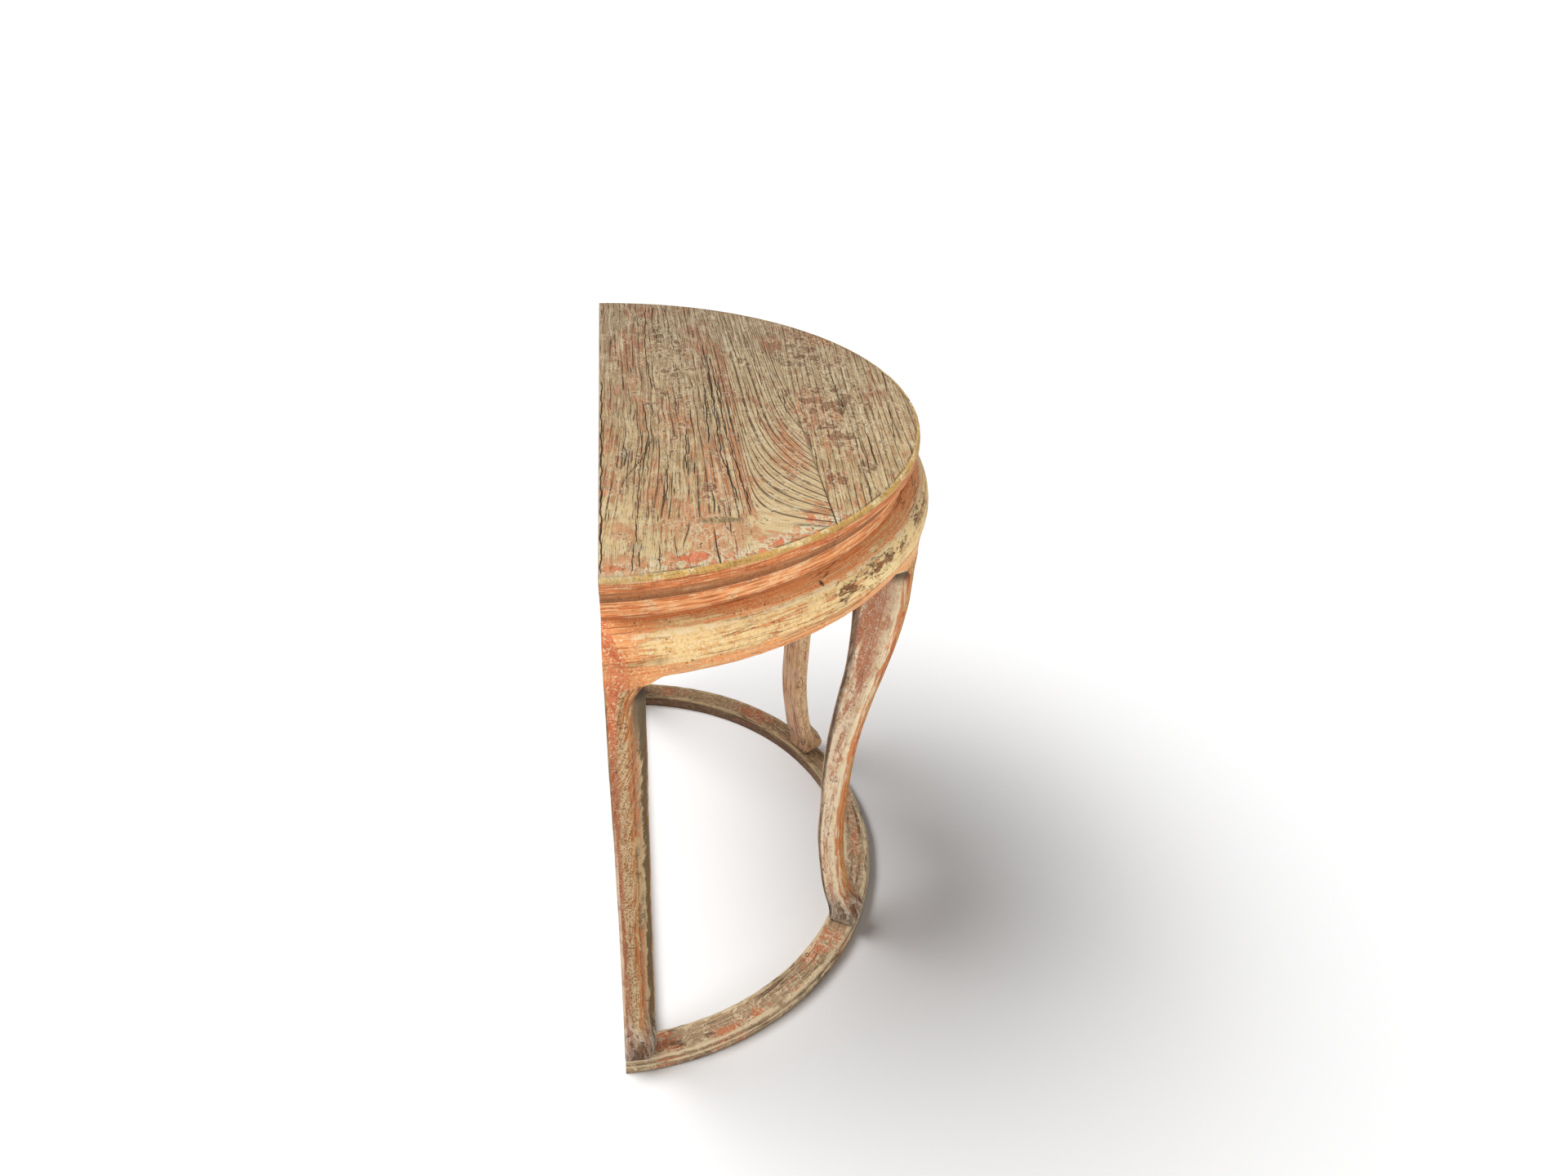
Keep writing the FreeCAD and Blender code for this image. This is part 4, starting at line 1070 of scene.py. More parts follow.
def leg_rows(low, high, back_edge, sizes):
    """Height, eight corners (reach, across) and chamfer share of each section of a leg, from the foot up."""
    rows = []
    for height in SHAFT_SHARES:
        _, swing, deep, cut = (smooth_curve(np.array([height]), LEG_STATIONS[:, 0], LEG_STATIONS[:, k])[0]
                               for k in range(4))
        outer = FOOT_REACH + height * (KNEE_REACH - FOOT_REACH) - swing * LEG_SWING
        flush = KNEE_REACH - sizes.apron_centre - sizes.apron_round - SHOULDER_PROUD
        outer -= flush * max(0.0, (height - 0.93) / 0.07) ** 2
        inner = outer - ANKLE_DEPTH - deep * (KNEE_DEPTH - ANKLE_DEPTH)
        edges = []
        for side in ("high", "low"):
            if back_edge == side:
                edges.append((BACK_ARRIS, BACK_ARRIS))
            else:
                hollow = HEEL_HOLLOW[0] * math.exp(-(height / HEEL_HOLLOW[1]) ** 2) if back_edge else 0.0
                cut_across = max(cut, 0.5 if back_edge else 0.0)
                edges.append(((OUTER_CHAMFER[0] * cut_across, OUTER_CHAMFER[1] * cut + hollow),
                              tuple(c * cut for c in INNER_CHAMFER)))
        (oh, ih), (ol, il) = edges
        bow = max(0.0, (height - 0.85) / 0.15)
        corners = [bowed(outer, high - oh[0], bow), bowed(outer - oh[1], high, bow), (inner + ih[1], high),
                   (inner, high - ih[0]), (inner, low + il[0]), (inner + il[1], low),
                   bowed(outer - ol[1], low, bow), bowed(outer, low + ol[0], bow)]
        rows.append((BASE_HIGH + height * (APRON_LOW - BASE_HIGH), corners, cut))
    for share in np.linspace(0, 1, 24):
        height = APRON_LOW + share * (APRON_HIGH - APRON_LOW)
        bulge = sizes.apron_round + SHOULDER_PROUD
        rise = height - (APRON_HIGH - sizes.apron_round)
        outer = sizes.apron_centre + math.sqrt(max(bulge ** 2 - max(rise, 0) ** 2, 0))
        width = (high - low) + share * (TIP_WIDTH - (high - low))
        if back_edge == "high":
            near, far = high - width, high
        elif back_edge == "low":
            near, far = low, low + width
        else:
            near, far = (low + high - width) / 2, (low + high + width) / 2
        corners = [bowed(outer, far, 1), (POST_OUTER, far), (POST_OUTER, high), (POST_INNER, high),
                   (POST_INNER, low), (POST_OUTER, low), (POST_OUTER, near), bowed(outer, near, 1)]
        rows.append((height, corners, 0.0))
    for height in (APRON_HIGH, TOP_LOW):
        corners = rows[-1][1]
        rows.append((height, [(min(reach, POST_OUTER + 0.2 * MM), side) for reach, side in corners], 0.0))
    return rows


def near_corners(column, corners, spread):
    """How near each point round a section is to one of the corners, from 0 to 1."""
    gaps = np.abs(column - corners[:, None])
    return np.exp(-(np.minimum(gaps, len(column) - gaps) / spread) ** 2).max(0)


def make_leg(name, angle, sizes, material, seed):
    """A leg with stopped chamfers and a pointed shoulder, in one closed loft from foot to top."""
    width = sizes.leg_width
    low, high, back_edge = -width / 2, width / 2, ""
    if name == "leg_back_left":
        low, high, back_edge = -width, 0.0, "high"
    if name == "leg_back_right":
        low, high, back_edge = 0.0, width, "low"
    rows = leg_rows(low, high, back_edge, sizes)
    sections, edges, heights = [], [], []
    corner_at = np.concatenate([[0], np.cumsum(SIDE_POINTS)[:-1]])
    total = sum(SIDE_POINTS)
    column = np.arange(total)
    near = near_corners(column, corner_at, 1.1)
    bead = near_corners(column, corner_at[[0, 7]], 0.9)
    for height, corners, cut in rows:
        points = []
        for k, steps in enumerate(SIDE_POINTS):
            start, end = np.array(corners[k]), np.array(corners[(k + 1) % 8])
            points += [start + (end - start) * step / steps for step in range(steps)]
        points = np.array(points)
        for _ in range(2):
            softer = (np.roll(points, 1, 0) + np.roll(points, -1, 0)) / 4 - points / 2
            points = points + min(1.0, 3 * cut) * softer
        points[:, 0] += bead * sizes.leg_bead * cut
        sections.append(points)
        edges.append(near * min(1.0, cut + 0.15))
        heights.append(height)
    sections = np.array(sections)
    heights = np.array(heights)
    # The foot is rounded like a pad where it stands on the ring.
    lift = ramp(heights, BASE_HIGH, FOOT_ROUND[0])[:, None, None]
    middle = sections.mean(1, keepdims=True)
    sections = sections + unit(middle - sections) * FOOT_ROUND[1] * (1 - np.sqrt(1 - (1 - lift) ** 2))
    turn = math.radians(angle)
    out = np.array([math.cos(turn), math.sin(turn), 0.0])
    side = np.array([math.sin(turn), -math.cos(turn), 0.0])
    loops = sections[..., :1] * out + sections[..., 1:] * side
    loops[..., 2] = heights[:, None]
    bump = rough_noise(loops * (1, 1, 0.45), 26, seed) * 0.6
    bump = bump + rough_noise(loops * (1, 1, 0.5), 75, seed + 1) * 0.3
    bump = bump * sizes.wear * ramp(-heights, -APRON_LOW - 60 * MM, 40 * MM)[:, None]
    push = unit(sections - middle) * bump[..., None]
    loops = loops + push[..., :1] * out + push[..., 1:] * side
    loops[..., 1] = np.minimum(loops[..., 1], 0.0) + BACK
    step = np.linalg.norm(np.diff(np.concatenate([loops, loops[:, :1]], 1), axis=1), axis=-1)
    across = np.concatenate([np.zeros((len(heights), 1)), np.cumsum(step, 1)], 1)
    tall = np.repeat(heights[:, None], total + 1, 1)
    grain = np.stack([tall, across, np.full_like(tall, seed * 1.3)], -1)
    corner_turns = (1, 2, 3, 4, 4, 3, 2, 1)
    around = np.interp(column, np.append(corner_at, total), corner_turns + (1,))
    face_middle = corner_at[7] + SIDE_POINTS[7] / 2
    around = np.where(column > corner_at[7], np.abs(column - face_middle) / (SIDE_POINTS[7] / 2), around)
    inner_middle = corner_at[3] + SIDE_POINTS[3] / 2
    on_inner = (column > corner_at[3]) & (column < corner_at[4])
    around = np.where(on_inner, 5 - np.abs(column - inner_middle) / (SIDE_POINTS[3] / 2), around)
    high_half = (column > face_middle) | (column < inner_middle)
    wall = {"high": high_half, "low": ~high_half}.get(back_edge, np.zeros(total, bool)).astype(float)
    marks = {"edge": np.array(edges), "turn": np.repeat(around[None], len(heights), 0),
             "wall": np.repeat(wall[None], len(heights), 0)}
    obj = tube(name, loops, grain[:, :-1], grain[:, 1:], marks, material, 50)
    carry_apron_grain(obj, sizes)
    return obj


def apron_start(sizes):
    """Angle at the apron's lower edge, and how far round its outline that edge lies."""
    lowest = -math.asin((APRON_HIGH - sizes.apron_round - APRON_LOW) / sizes.apron_round)
    low_edge = sizes.apron_centre + sizes.apron_round * math.cos(lowest)
    return lowest, APRON_HIGH - APRON_LOW + low_edge - sizes.apron_inner


def carry_apron_grain(obj, sizes):
    """Stores the apron's own grain on a leg, so that paint runs on across the shoulder."""
    points = mesh_points(obj)
    turn, reach = polar(points)
    lowest, start = apron_start(sizes)
    rise = np.arctan2(points[:, 2] - (APRON_HIGH - sizes.apron_round), reach - sizes.apron_centre)
    across = start + sizes.apron_round * (rise - lowest)
    set_grain(obj.data, "apron_grain", np.stack([turn * sizes.apron_centre, across,
                                                 np.full_like(turn, APRON_SEED)], -1))
    set_marks(obj.data, {"ends": near_ends(turn)})


def near_ends(turn):
    """How near each angle is to the straight back, where the paint is thickest, from 0 to 1."""
    away = np.minimum(np.degrees(turn) - 180, 360 - np.degrees(turn))
    return np.exp(-(np.maximum(away - 2, 0) / 4.0) ** 2)


# Points along each swept length, and the scale and share of the waves that wear it.
ARC_POINTS = 240
WEAR_WAVES = ((14.0, 0.8), (55.0, 0.7), (150.0, 0.3))
# Share of the wear, and the seed, of each kind of swept length.
SWEPT = {"waist": (0.5, 3.0), "apron": (0.8, APRON_SEED), "base": (1.1, 31.0)}


def sweep_tree(material):
    """Node tree that sweeps a profile round an arc, cuts its ends to the leg shoulders and roughens it."""
    tree = bpy.data.node_groups.new("swept_length", "GeometryNodeTree")
    tree.interface.new_socket("Geometry", in_out="OUTPUT", socket_type="NodeSocketGeometry")
    tree.interface.new_socket("Profile", in_out="INPUT", socket_type="NodeSocketGeometry")
    names = ("Radius", "Start angle", "End angle", "Start clear low", "Start clear high", "End clear low",
             "End clear high", "Low height", "High height", "Wear", "Seed")
    for name in names:
        tree.interface.new_socket(name, in_out="INPUT", socket_type="NodeSocketFloat")
    n = Nodes(tree)
    given = n.add("NodeGroupInput").outputs
    sweep = n.math("SUBTRACT", given["End angle"], given["Start angle"])
    arc = n.add("GeometryNodeCurveArc", {"Resolution": ARC_POINTS, "Radius": given["Radius"],
                                         "Start Angle": given["Start angle"], "Sweep Angle": sweep})
    along = n.add("GeometryNodeSplineParameter").outputs["Factor"]
    path = n.add("GeometryNodeStoreNamedAttribute", {
        "Geometry": arc.outputs["Curve"], "Name": "along", "Value": along}, data_type="FLOAT",
        domain="POINT").outputs[0]
    path = n.add("GeometryNodeSetCurveNormal", {"Curve": path}, mode="Z_UP").outputs[0]
    profile = n.add("GeometryNodeMeshToCurve", {"Mesh": given["Profile"]}).outputs[0]
    swept = n.add("GeometryNodeCurveToMesh", {"Curve": path, "Profile Curve": profile,
                                              "Fill Caps": True}).outputs[0]
    place = n.add("GeometryNodeInputPosition").outputs[0]
    parts = n.add("ShaderNodeSeparateXYZ", {0: place}).outputs
    flat = n.add("ShaderNodeCombineXYZ", {0: parts["X"], 1: parts["Y"]}).outputs[0]
    reach = n.add("ShaderNodeVectorMath", {0: flat}, operation="LENGTH").outputs["Value"]
    clear = []
    for end in ("Start", "End"):
        wide = n.add("ShaderNodeMapRange", {
            "Value": parts["Z"], "From Min": given["Low height"], "From Max": given["High height"],
            "To Min": given[end + " clear low"], "To Max": given[end + " clear high"]}).outputs[0]
        clear.append(n.math("ARCSINE", n.math("DIVIDE", wide, reach)))
    share = n.add("GeometryNodeInputNamedAttribute", {"Name": "along"}, data_type="FLOAT").outputs[0]
    ahead = n.math("MULTIPLY", clear[0], n.math("SUBTRACT", 1.0, share))
    turn = n.math("SUBTRACT", ahead, n.math("MULTIPLY", clear[1], share))
    turned = n.add("ShaderNodeVectorRotate", {"Vector": place, "Angle": turn},
                   rotation_type="Z_AXIS").outputs[0]
    swept = n.add("GeometryNodeSetPosition", {"Geometry": swept, "Position": turned}).outputs[0]
    aside = n.add("ShaderNodeCombineXYZ", {2: given["Seed"]}).outputs[0]
    shift = n.add("ShaderNodeVectorMath", {0: place, 1: aside}, operation="ADD").outputs[0]
    rough = None
    for scale, part in WEAR_WAVES:
        wave = n.add("ShaderNodeTexNoise", {"Vector": shift, "Scale": scale, "Detail": 1.0}).outputs[0]
        wave = n.math("MULTIPLY", n.math("SUBTRACT", wave, 0.5), part * 2)
        rough = wave if rough is None else n.math("ADD", rough, wave)
    normal = n.add("GeometryNodeInputNormal").outputs[0]
    push = n.add("ShaderNodeVectorMath", {0: normal, "Scale": n.math("MULTIPLY", rough, given["Wear"])},
                 operation="SCALE").outputs[0]
    swept = n.add("GeometryNodeSetPosition", {"Geometry": swept, "Offset": push}).outputs[0]
    swept = n.add("GeometryNodeTransform", {"Geometry": swept, "Translation": (0.0, BACK, 0.0)}).outputs[0]
    swept = n.add("GeometryNodeSetShadeSmooth", {"Geometry": swept}).outputs[0]
    swept = n.add("GeometryNodeRealizeInstances", {"Geometry": swept}).outputs[0]
    swept = n.add("GeometryNodeSetMaterial", {"Geometry": swept, "Material": material}).outputs[0]
    n.add("NodeGroupOutput", {"Geometry": swept})
    return tree


def sweep_piece(kind, side, sizes, tree, profile, edge, settings):
    """Sweeps a profile of (radius, height) points along one length, as a plain mesh object at the origin."""
    name = kind + "_length_" + side
    start, end = (math.radians(angle) for angle in LENGTHS[side])
    wear, seed = SWEPT[kind]
    settings = {"Start angle": start, "End angle": end, "Wear": wear * sizes.wear, "Seed": seed, **settings}
    count = len(profile)
    radius = settings["Radius"]
    mesh = bpy.data.meshes.new(name + "_profile")
    ring = [(k, (k + 1) % count) for k in range(count)]
    mesh.from_pydata([(r - radius, -z, 0.0) for r, z in profile], ring, [])
    step = np.hypot(*np.diff(np.array(profile), axis=0).T)
    set_marks(mesh, {"across": np.concatenate([[0], np.cumsum(step)]), "edge": edge})
    obj = add_object(name, mesh)
    modifier = obj.modifiers.new("sweep", "NODES")
    modifier.node_group = tree
    for item in tree.interface.items_tree:
        if item.name in settings:
            modifier[item.identifier] = float(settings[item.name])
    depsgraph = bpy.context.evaluated_depsgraph_get()
    result = bpy.data.meshes.new_from_object(obj.evaluated_get(depsgraph), preserve_all_data_layers=True,
                                             depsgraph=depsgraph)
    obj.modifiers.clear()
    obj.data = result
    bpy.data.meshes.remove(mesh)
    result.name = name
    if len(result.polygons) == 0:
        raise RuntimeError(name + " came out empty")
    tidy_mesh(result, 38)
    across = np.empty(len(result.vertices), np.float32)
    result.attributes["across"].data.foreach_get("value", across)
    turn, _ = polar(mesh_points(obj))
    set_grain(result, "grain", np.stack([turn * radius, across, np.full_like(turn, seed)], -1))
    for spare in ("along", "across"):
        result.attributes.remove(result.attributes[spare])
    return obj


def rounded(corners, steps=4):
    """A closed outline through corners (radius, height, rounding), and which points are on a rounding."""
    outline, edge = [], []
    count = len(corners)
    for k, (r, z, soft) in enumerate(corners):
        here = np.array([r, z])
        if soft == 0:
            outline.append(tuple(here))
            edge.append(0.0)
            continue
        before = np.array(corners[k - 1][:2]) - here
        after = np.array(corners[(k + 1) % count][:2]) - here
        start = here + before / np.linalg.norm(before) * soft
        end = here + after / np.linalg.norm(after) * soft
        for t in np.linspace(0, 1, steps + 1):
            outline.append(tuple((1 - t) ** 2 * start + 2 * t * (1 - t) * here + t ** 2 * end))
            edge.append(1.0)
    return outline, np.array(edge)


def filled(outline, edge, most):
    """The same outline with points no further apart than the most given."""
    points, near = [], []
    for k, start in enumerate(outline):
        end = outline[(k + 1) % len(outline)]
        parts = max(1, math.ceil(math.dist(start, end) / most))
        for step in range(parts):
            t = step / parts
            points.append((start[0] + (end[0] - start[0]) * t, start[1] + (end[1] - start[1]) * t))
            near.append(edge[k] * (1 - t) ** 4 + edge[(k + 1) % len(outline)] * t ** 4)
    return points, np.array(near)


# Length over which the apron fills out towards the legs, and how far it runs into their shoulders.
FLARE_LENGTH = 26 * MM
SHOULDER_OVERLAP = 1.2 * MM


def flare_ends(obj, side, sizes):
    """Fills out the apron's lower half towards the legs, so that its face runs on into their faces."""
    points = mesh_points(obj)
    turn, reach = polar(points)
    start, end = (math.radians(angle) for angle in LENGTHS[side])
    most = sizes.apron_centre + sizes.apron_round
    first = sizes.leg_width if side == "left" else sizes.leg_width / 2
    last = sizes.leg_width if side == "right" else sizes.leg_width / 2
    run = np.minimum((turn - start) * most - first, (end - turn) * most - last)
    near = np.clip(1 - run / FLARE_LENGTH, 0, 1)
    below = np.clip(APRON_HIGH - sizes.apron_round - points[:, 2], 0, sizes.apron_round)
    face = sizes.apron_centre + np.sqrt(sizes.apron_round ** 2 - below ** 2)
    inner = sizes.apron_inner
    grown = inner + (reach - inner) * (most - inner) / (face - inner)
    share = 1 + near ** 2 * (3 - 2 * near) * (grown / reach - 1)
    points[:, 0] *= share
    points[:, 1] = BACK + (points[:, 1] - BACK) * share
    move_points(obj, points)


# Dark scabs and nail holes of the apron: degrees round the curve, height, half widths and strength.
SCABS = [
    (219.2, 776, 4.4, 12, 1.05), (228.0, 778, 6.4, 12, 1.1), (235, 779, 3.6, 11, 0.9),
    (243.5, 780, 4.4, 11, 1), (249.5, 780, 4.2, 10, 0.9), (224, 764, 3.4, 8, 0.75),
    (292, 776, 4.2, 9, 0.9), (324, 778, 4.2, 9, 0.9)]
HOLES = [
    (214.8, 792, 0.32, 2.2, 1.3), (192.1, 757, 0.24, 1.6, 1.2), (191.3, 755, 0.2, 1.4, 1.1),
    (205.5, 775, 0.2, 1.3, 1), (271, 788, 0.3, 2, 1.2), (330, 789, 0.3, 2, 1.2)]
# Red patches of the floor ring: degrees round the curve, radius, half widths and strength.
RED_ON_BASE = [
    (187, 425, 4, 30, 1), (201, 435, 4, 14, 1), (208, 432, 3, 10, 0.9), (228, 412, 5, 16, 1),
    (234, 425, 4, 30, 1), (262, 420, 6, 14, 1), (283, 430, 5, 20, 0.9), (318, 425, 7, 16, 1),
    (345, 420, 6, 20, 0.9)]


# Boards of the top: whether it is the front one, its rows and columns of points, and its seed.
BOARDS = {"back": (False, 450, 155, 3), "front": (True, 340, 135, 8)}
# Gap between points of an outline, and the rounding of the waist's outer edges.
OUTLINE_GAP = 3 * MM
WAIST_SOFT = 0.5 * MM
# The apron's lower edge: where its flat underside stops, its broken corner, the width of rubbed paint, and
# the angle at which its round face starts.
UNDERSIDE_STOP = 1.5 * MM
BROKEN_CORNER = (0.4 * MM, 0.5 * MM)
RUBBED_WIDTH = 2.5 * MM
FACE_START = 0.04
# The floor ring's stepped outer face, and the rounding of its edges.
BASE_STEP_REACH = 3 * MM
BASE_STEP_HEIGHT = 14 * MM
BASE_STEP_SLOPE = 0.5 * MM
BASE_SOFT = 1.5 * MM
BASE_OUTER_SOFT = 3 * MM
BASE_INNER_SOFT = 2.5 * MM
# Seed of the first leg.
LEG_SEED = 21


class TABLE_OT_top(bpy.types.Operator):
    """Make the two boards of the top"""
    bl_idname = "table.make_top"
    bl_label = "Top"

    def execute(self, context):
        material = top_finish(context.scene.table_colours)
        for name, settings in BOARDS.items():
            board = make_board("top_" + name, context.scene.table_sizes, material, *settings)
            place_piece(board, "top_" + name + "_board")
        return {"FINISHED"}


class TABLE_OT_waist(bpy.types.Operator):
    """Make the three lengths of the recessed waist"""
    bl_idname = "table.make_waist"
    bl_label = "Waist"

    def execute(self, context):
        sizes = context.scene.table_sizes
        tree = sweep_tree(waist_finish(context.scene.table_colours))
        outer, inner = sizes.apron_centre, sizes.apron_inner
        corners = [(inner, TOP_LOW, 0), (inner, APRON_HIGH, 0), (outer, APRON_HIGH, WAIST_SOFT),
                   (outer, TOP_LOW, WAIST_SOFT)]
        outline, edge = filled(*rounded(corners), OUTLINE_GAP)
        for side in SIDES:
            piece = sweep_piece("waist", side, sizes, tree, outline, edge, {
                "Radius": outer, "Low height": APRON_HIGH, "High height": TOP_LOW})
            place_piece(piece, "waist_" + side)
        return {"FINISHED"}


class TABLE_OT_apron(bpy.types.Operator):
    """Make the three swelling lengths of the apron"""
    bl_idname = "table.make_apron"
    bl_label = "Apron"

    def execute(self, context):
        sizes = context.scene.table_sizes
        tree = sweep_tree(apron_finish(context.scene.table_colours))
        bulge, centre, inner = sizes.apron_round, sizes.apron_centre, sizes.apron_inner
        middle = APRON_HIGH - bulge
        lowest, _ = apron_start(sizes)
        low_edge = centre + bulge * math.cos(lowest)
        outline = [(inner, APRON_HIGH), (inner, APRON_LOW)]
        outline += [(r, APRON_LOW) for r in np.linspace(inner, low_edge - UNDERSIDE_STOP, 10)[1:]]
        outline.append((low_edge - BROKEN_CORNER[0], APRON_LOW + BROKEN_CORNER[1]))
        outline += [(centre + bulge * math.cos(turn), middle + bulge * math.sin(turn))
                    for turn in np.linspace(lowest + FACE_START, math.pi / 2, 42)]
        edge = np.array([1.0 if abs(r - low_edge) < RUBBED_WIDTH else 0.0 for r, _ in outline])
        wide, tip = sizes.leg_width, TIP_WIDTH
        for side in SIDES:
            first = (wide, tip) if side == "left" else (wide / 2, tip / 2)
            last = (wide, tip) if side == "right" else (wide / 2, tip / 2)
            first = [size - SHOULDER_OVERLAP for size in first]
            last = [size - SHOULDER_OVERLAP for size in last]
            piece = sweep_piece("apron", side, sizes, tree, outline, edge, {
                "Radius": centre, "Low height": APRON_LOW, "High height": APRON_HIGH,
                "Start clear low": first[0], "Start clear high": first[1],
                "End clear low": last[0], "End clear high": last[1]})
            flare_ends(piece, side, sizes)
            points = mesh_points(piece)
            turn, _ = polar(points)
            degrees = np.degrees(turn) * MM
            set_marks(piece.data, {"scab": blobs(degrees, points[:, 2], SCABS),
                                   "hole": np.clip(blobs(degrees, points[:, 2], HOLES) * 1.6 - 0.5, 0, 1),
                                   "ends": near_ends(turn)})
            place_piece(piece, "apron_" + side)
        return {"FINISHED"}


class TABLE_OT_legs(bpy.types.Operator):
    """Make the four curved legs"""
    bl_idname = "table.make_legs"
    bl_label = "Legs"

    def execute(self, context):
        material = leg_finish(context.scene.table_colours)
        for number, (side, angle) in enumerate(LEGS.items()):
            piece = make_leg("leg_" + side, angle, context.scene.table_sizes, material, LEG_SEED + number)
            piece.name = "carved_leg_" + side
            place_piece(piece, "leg_" + side)
        return {"FINISHED"}


class TABLE_OT_base(bpy.types.Operator):
    """Make the three lengths of the floor ring"""
    bl_idname = "table.make_base"
    bl_label = "Floor ring"

    def execute(self, context):
        sizes = context.scene.table_sizes
        tree = sweep_tree(base_finish(context.scene.table_colours))
        outer, inner = BASE_RADIUS, BASE_RADIUS - sizes.base_width
        upper = outer - BASE_STEP_REACH
        corners = [(inner, 0.0, BASE_SOFT), (outer, 0.0, BASE_SOFT), (outer, BASE_STEP_HEIGHT, BASE_SOFT),
                   (upper, BASE_STEP_HEIGHT + BASE_STEP_SLOPE, 0), (upper, BASE_HIGH, BASE_OUTER_SOFT),
                   (inner, BASE_HIGH, BASE_INNER_SOFT)]
        outline, edge = filled(*rounded(corners), OUTLINE_GAP)
        for side in SIDES:
            piece = sweep_piece("base", side, sizes, tree, outline, edge, {
                "Radius": outer, "Low height": 0.0, "High height": 1.0})
            points = mesh_points(piece)
            # The worn underside doesn't reach below the floor.
            points[:, 2] = np.maximum(points[:, 2], 0.0)
            move_points(piece, points)
            turn, reach = polar(points)
            set_marks(piece.data, {"red": blobs(np.degrees(turn) * MM, reach, RED_ON_BASE)})
            place_piece(piece, "base_" + side)
        return {"FINISHED"}


class TABLE_OT_inner(bpy.types.Operator):
    """Finish the hidden rails, battens, tongue and pins"""
    bl_idname = "table.finish_inner"
    bl_label = "Inner pieces"

    def execute(self, context):
        tints = context.scene.table_colours
        bare = inner_finish("bare_wood", tints.inner, "6A4E34")
        pins = inner_finish("pin_wood", "A9865A", "86653F")
        rail = inner_finish("base_rail_wood", tints.drift, "6A543C")
        used = {"top_seam_tongue": bare, "top_batten_left": bare, "top_batten_right": bare, "back_rail": bare,
                "waist_pins": pins, "base_lap_pins": pins, "base_back_rail": rail}
        for node, material in used.items():
            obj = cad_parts[node]
            obj.data.materials.clear()
            obj.data.materials.append(material)
        return {"FINISHED"}


# The camera, fitted to the outlines of the top and the floor ring: its place, its turns in radians, its lens
# and picture width in millimetres, and its shift as a share of that width.
CAMERA_PLACE = (-1.44682, 0.20288, 1.49854)
CAMERA_TURNS = (-0.1491, 0.5407, -0.0374)
LENS = 25.3885
PICTURE_WIDTH = 36.0
LENS_SHIFT = (0.00906, -0.02642)
# Lamps: power, place, and what the light runs along or towards. The key's spread is in degrees.
KEY_POWER = 3.05
KEY_SPREAD = 42
KEY_PLACE = (0.3, 1.5, 3.0)
KEY_DIRECTION = (-0.115, -0.467, -0.877)
FRONT_POWER = 23.5
FRONT_SIZE = 1.3
FRONT_PLACE = (-2.0, -0.6, 1.2)
FRONT_TARGET = (-0.2, 0.0, 0.62)
# Shade of the floor and strength of the sky: for light that bounces, then as they are seen.
FLOOR_SHADES = (0.8, 1.0)
SKY_STRENGTHS = (0.18, 1.0)
FLOOR_REACH = 30


def camera_matrix():
    """Place and aim of the camera."""
    yaw, pitch, roll = CAMERA_TURNS
    forward = Vector((math.cos(yaw) * math.cos(pitch), math.sin(yaw) * math.cos(pitch), -math.sin(pitch)))
    right = Vector((math.sin(yaw), -math.cos(yaw), 0.0))
    down = forward.cross(right)
    across = math.cos(roll) * right + math.sin(roll) * down
    below = -math.sin(roll) * right + math.cos(roll) * down
    turn = Matrix((across, -below, -forward)).transposed().to_4x4()
    return Matrix.Translation(CAMERA_PLACE) @ turn


def add_lamp(name, kind, power, place, direction):
    """A lamp that shines in a direction."""
    lamp = bpy.data.lights.new(name, kind)
    lamp.energy = power
    obj = add_object(name, lamp)
    obj.location = place
    obj.rotation_euler = Vector(direction).to_track_quat("-Z", "Y").to_euler()
    return obj


def by_sight(n, values):
    """The first value for light that bounces, the second where it is seen directly or in a reflection."""
    seen = n.add("ShaderNodeLightPath").outputs
    mirrored = n.math("MAXIMUM", seen["Is Glossy Ray"], seen["Is Transmission Ray"])
    return n.step(n.math("MAXIMUM", seen["Is Camera Ray"], mirrored), 0.0, 1.0, *values)


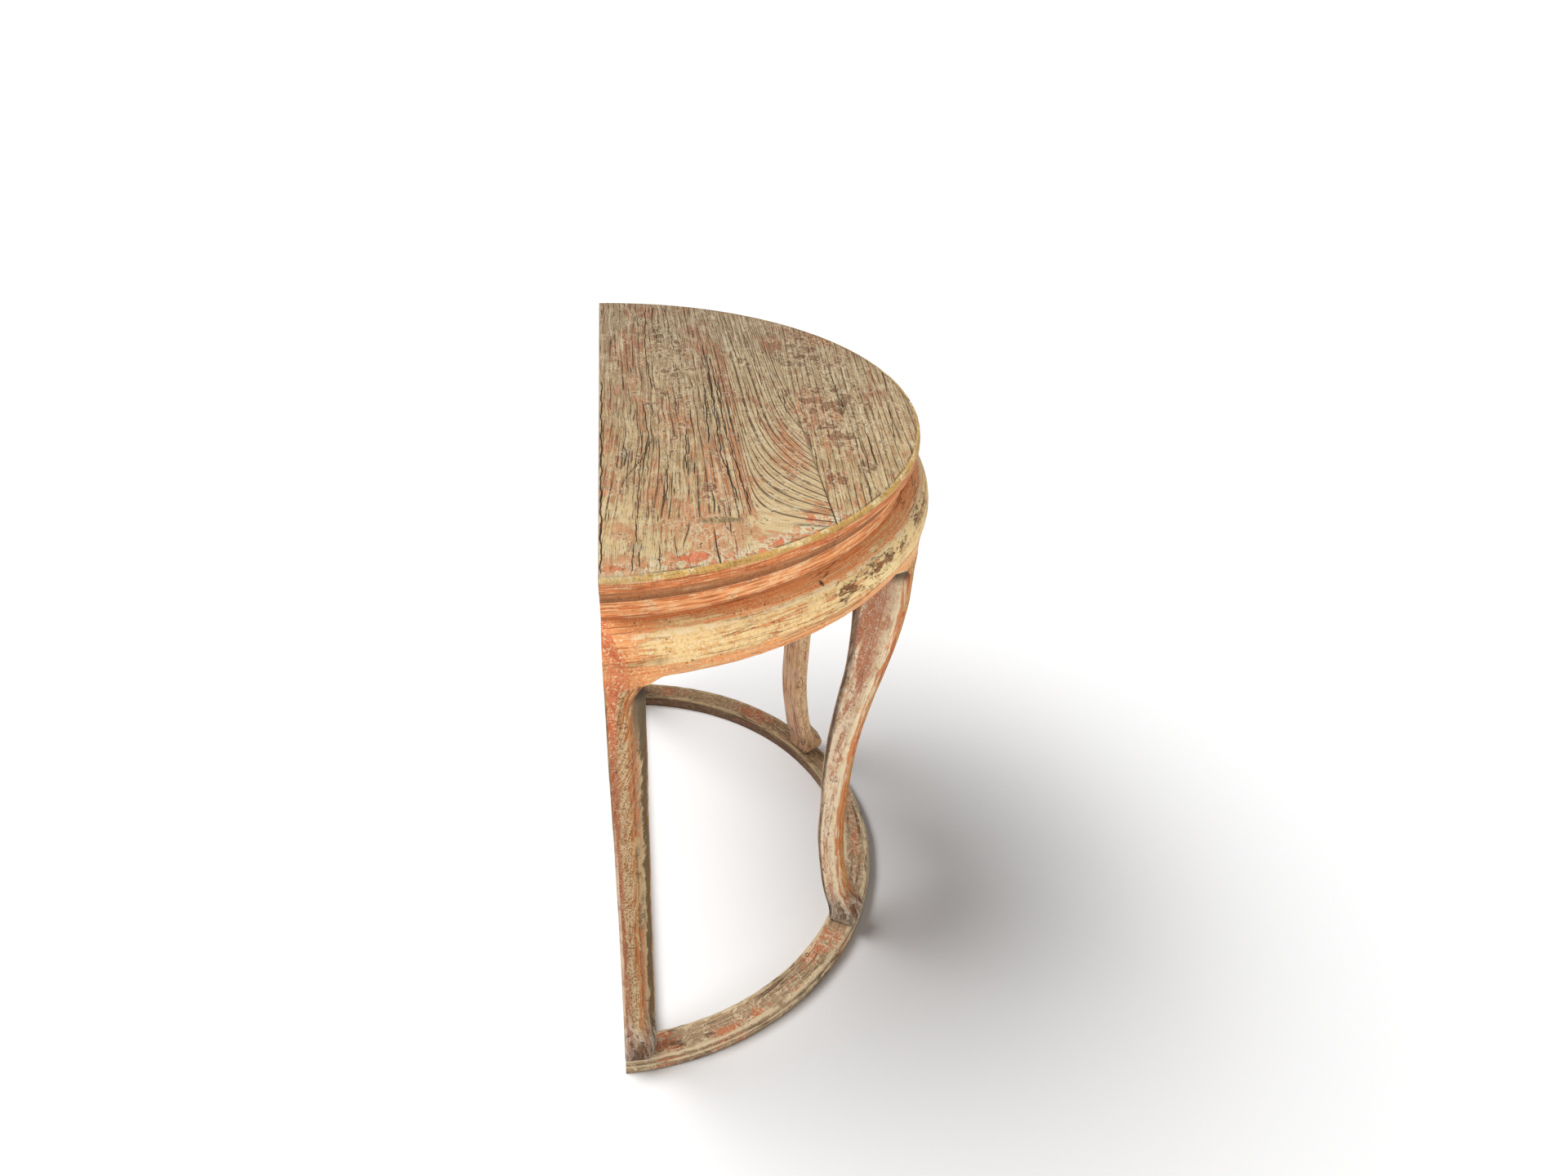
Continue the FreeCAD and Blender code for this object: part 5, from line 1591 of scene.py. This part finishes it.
class TABLE_OT_stage(bpy.types.Operator):
    """Make the floor, the light and the camera"""
    bl_idname = "table.make_stage"
    bl_label = "Stage"

    def execute(self, context):
        scene = context.scene
        scene.view_settings.view_transform = "Standard"
        mesh = bpy.data.meshes.new("floor")
        square = ((-1, -1), (1, -1), (1, 1), (-1, 1))
        mesh.from_pydata([(x * FLOOR_REACH, y * FLOOR_REACH, 0) for x, y in square], [], [(0, 1, 2, 3)])
        floor = add_object("floor", mesh)
        material = bpy.data.materials.new("floor_white")
        material.use_nodes = True
        n = Nodes(material.node_tree)
        shade = by_sight(n, FLOOR_SHADES)
        tint = n.add("ShaderNodeCombineColor", {0: shade, 1: shade, 2: shade}).outputs[0]
        matte = n.add("ShaderNodeBsdfDiffuse", {"Color": tint}).outputs[0]
        n.add("ShaderNodeOutputMaterial", {"Surface": matte})
        mesh.materials.append(material)

        scene.world = bpy.data.worlds.new("studio")
        scene.world.use_nodes = True
        n = Nodes(scene.world.node_tree)
        strength = by_sight(n, SKY_STRENGTHS)
        sky = n.add("ShaderNodeBackground", {"Color": (1, 1, 1, 1), "Strength": strength}).outputs[0]
        n.add("ShaderNodeOutputWorld", {"Surface": sky})

        key = add_lamp("key", "SUN", KEY_POWER, KEY_PLACE, KEY_DIRECTION)
        key.data.angle = math.radians(KEY_SPREAD)

        # The front lamp lights the table and not the floor, so the floor's shadow stays.
        towards = Vector(FRONT_TARGET) - Vector(FRONT_PLACE)
        front = add_lamp("front", "AREA", FRONT_POWER, FRONT_PLACE, towards)
        front.data.size = FRONT_SIZE
        unlit = bpy.data.collections.new("not_lit_by_front")
        unlit.objects.link(floor)
        front.light_linking.receiver_collection = unlit
        unlit.collection_objects[0].light_linking.link_state = "EXCLUDE"

        lens = bpy.data.cameras.new("camera")
        lens.sensor_fit = "HORIZONTAL"
        lens.sensor_width = PICTURE_WIDTH
        lens.lens = LENS
        lens.shift_x, lens.shift_y = LENS_SHIFT
        scene.camera = add_object("camera", lens)
        scene.camera.matrix_world = camera_matrix()
        return {"FINISHED"}


OPERATORS = (TABLE_OT_top, TABLE_OT_waist, TABLE_OT_apron, TABLE_OT_legs, TABLE_OT_base, TABLE_OT_inner,
             TABLE_OT_stage)


class TABLE_PT_panel(bpy.types.Panel):
    """Sidebar panel that lists the pieces, sizes and colours"""
    bl_idname = "TABLE_PT_panel"
    bl_label = "Half-Round Wall Table"
    bl_space_type = "VIEW_3D"
    bl_region_type = "UI"
    bl_category = "Table"

    def draw(self, context):
        for operator in OPERATORS:
            self.layout.operator(operator.bl_idname)
        for group in (context.scene.table_sizes, context.scene.table_colours):
            box = self.layout.box()
            for name in group.__annotations__:
                box.prop(group, name)


CLASSES = (TableSizes, TableColours) + OPERATORS + (TABLE_PT_panel,)


def register():
    for item in CLASSES:
        bpy.utils.register_class(item)
    bpy.types.Scene.table_sizes = bpy.props.PointerProperty(type=TableSizes)
    bpy.types.Scene.table_colours = bpy.props.PointerProperty(type=TableColours)


def unregister():
    del bpy.types.Scene.table_colours
    del bpy.types.Scene.table_sizes
    for item in reversed(CLASSES):
        bpy.utils.unregister_class(item)


def main():
    register()
    bpy.ops.table.make_top()
    bpy.ops.table.make_waist()
    bpy.ops.table.make_apron()
    bpy.ops.table.make_legs()
    bpy.ops.table.make_base()
    bpy.ops.table.finish_inner()
    bpy.ops.table.make_stage()


if __name__ == "__main__":
    main()
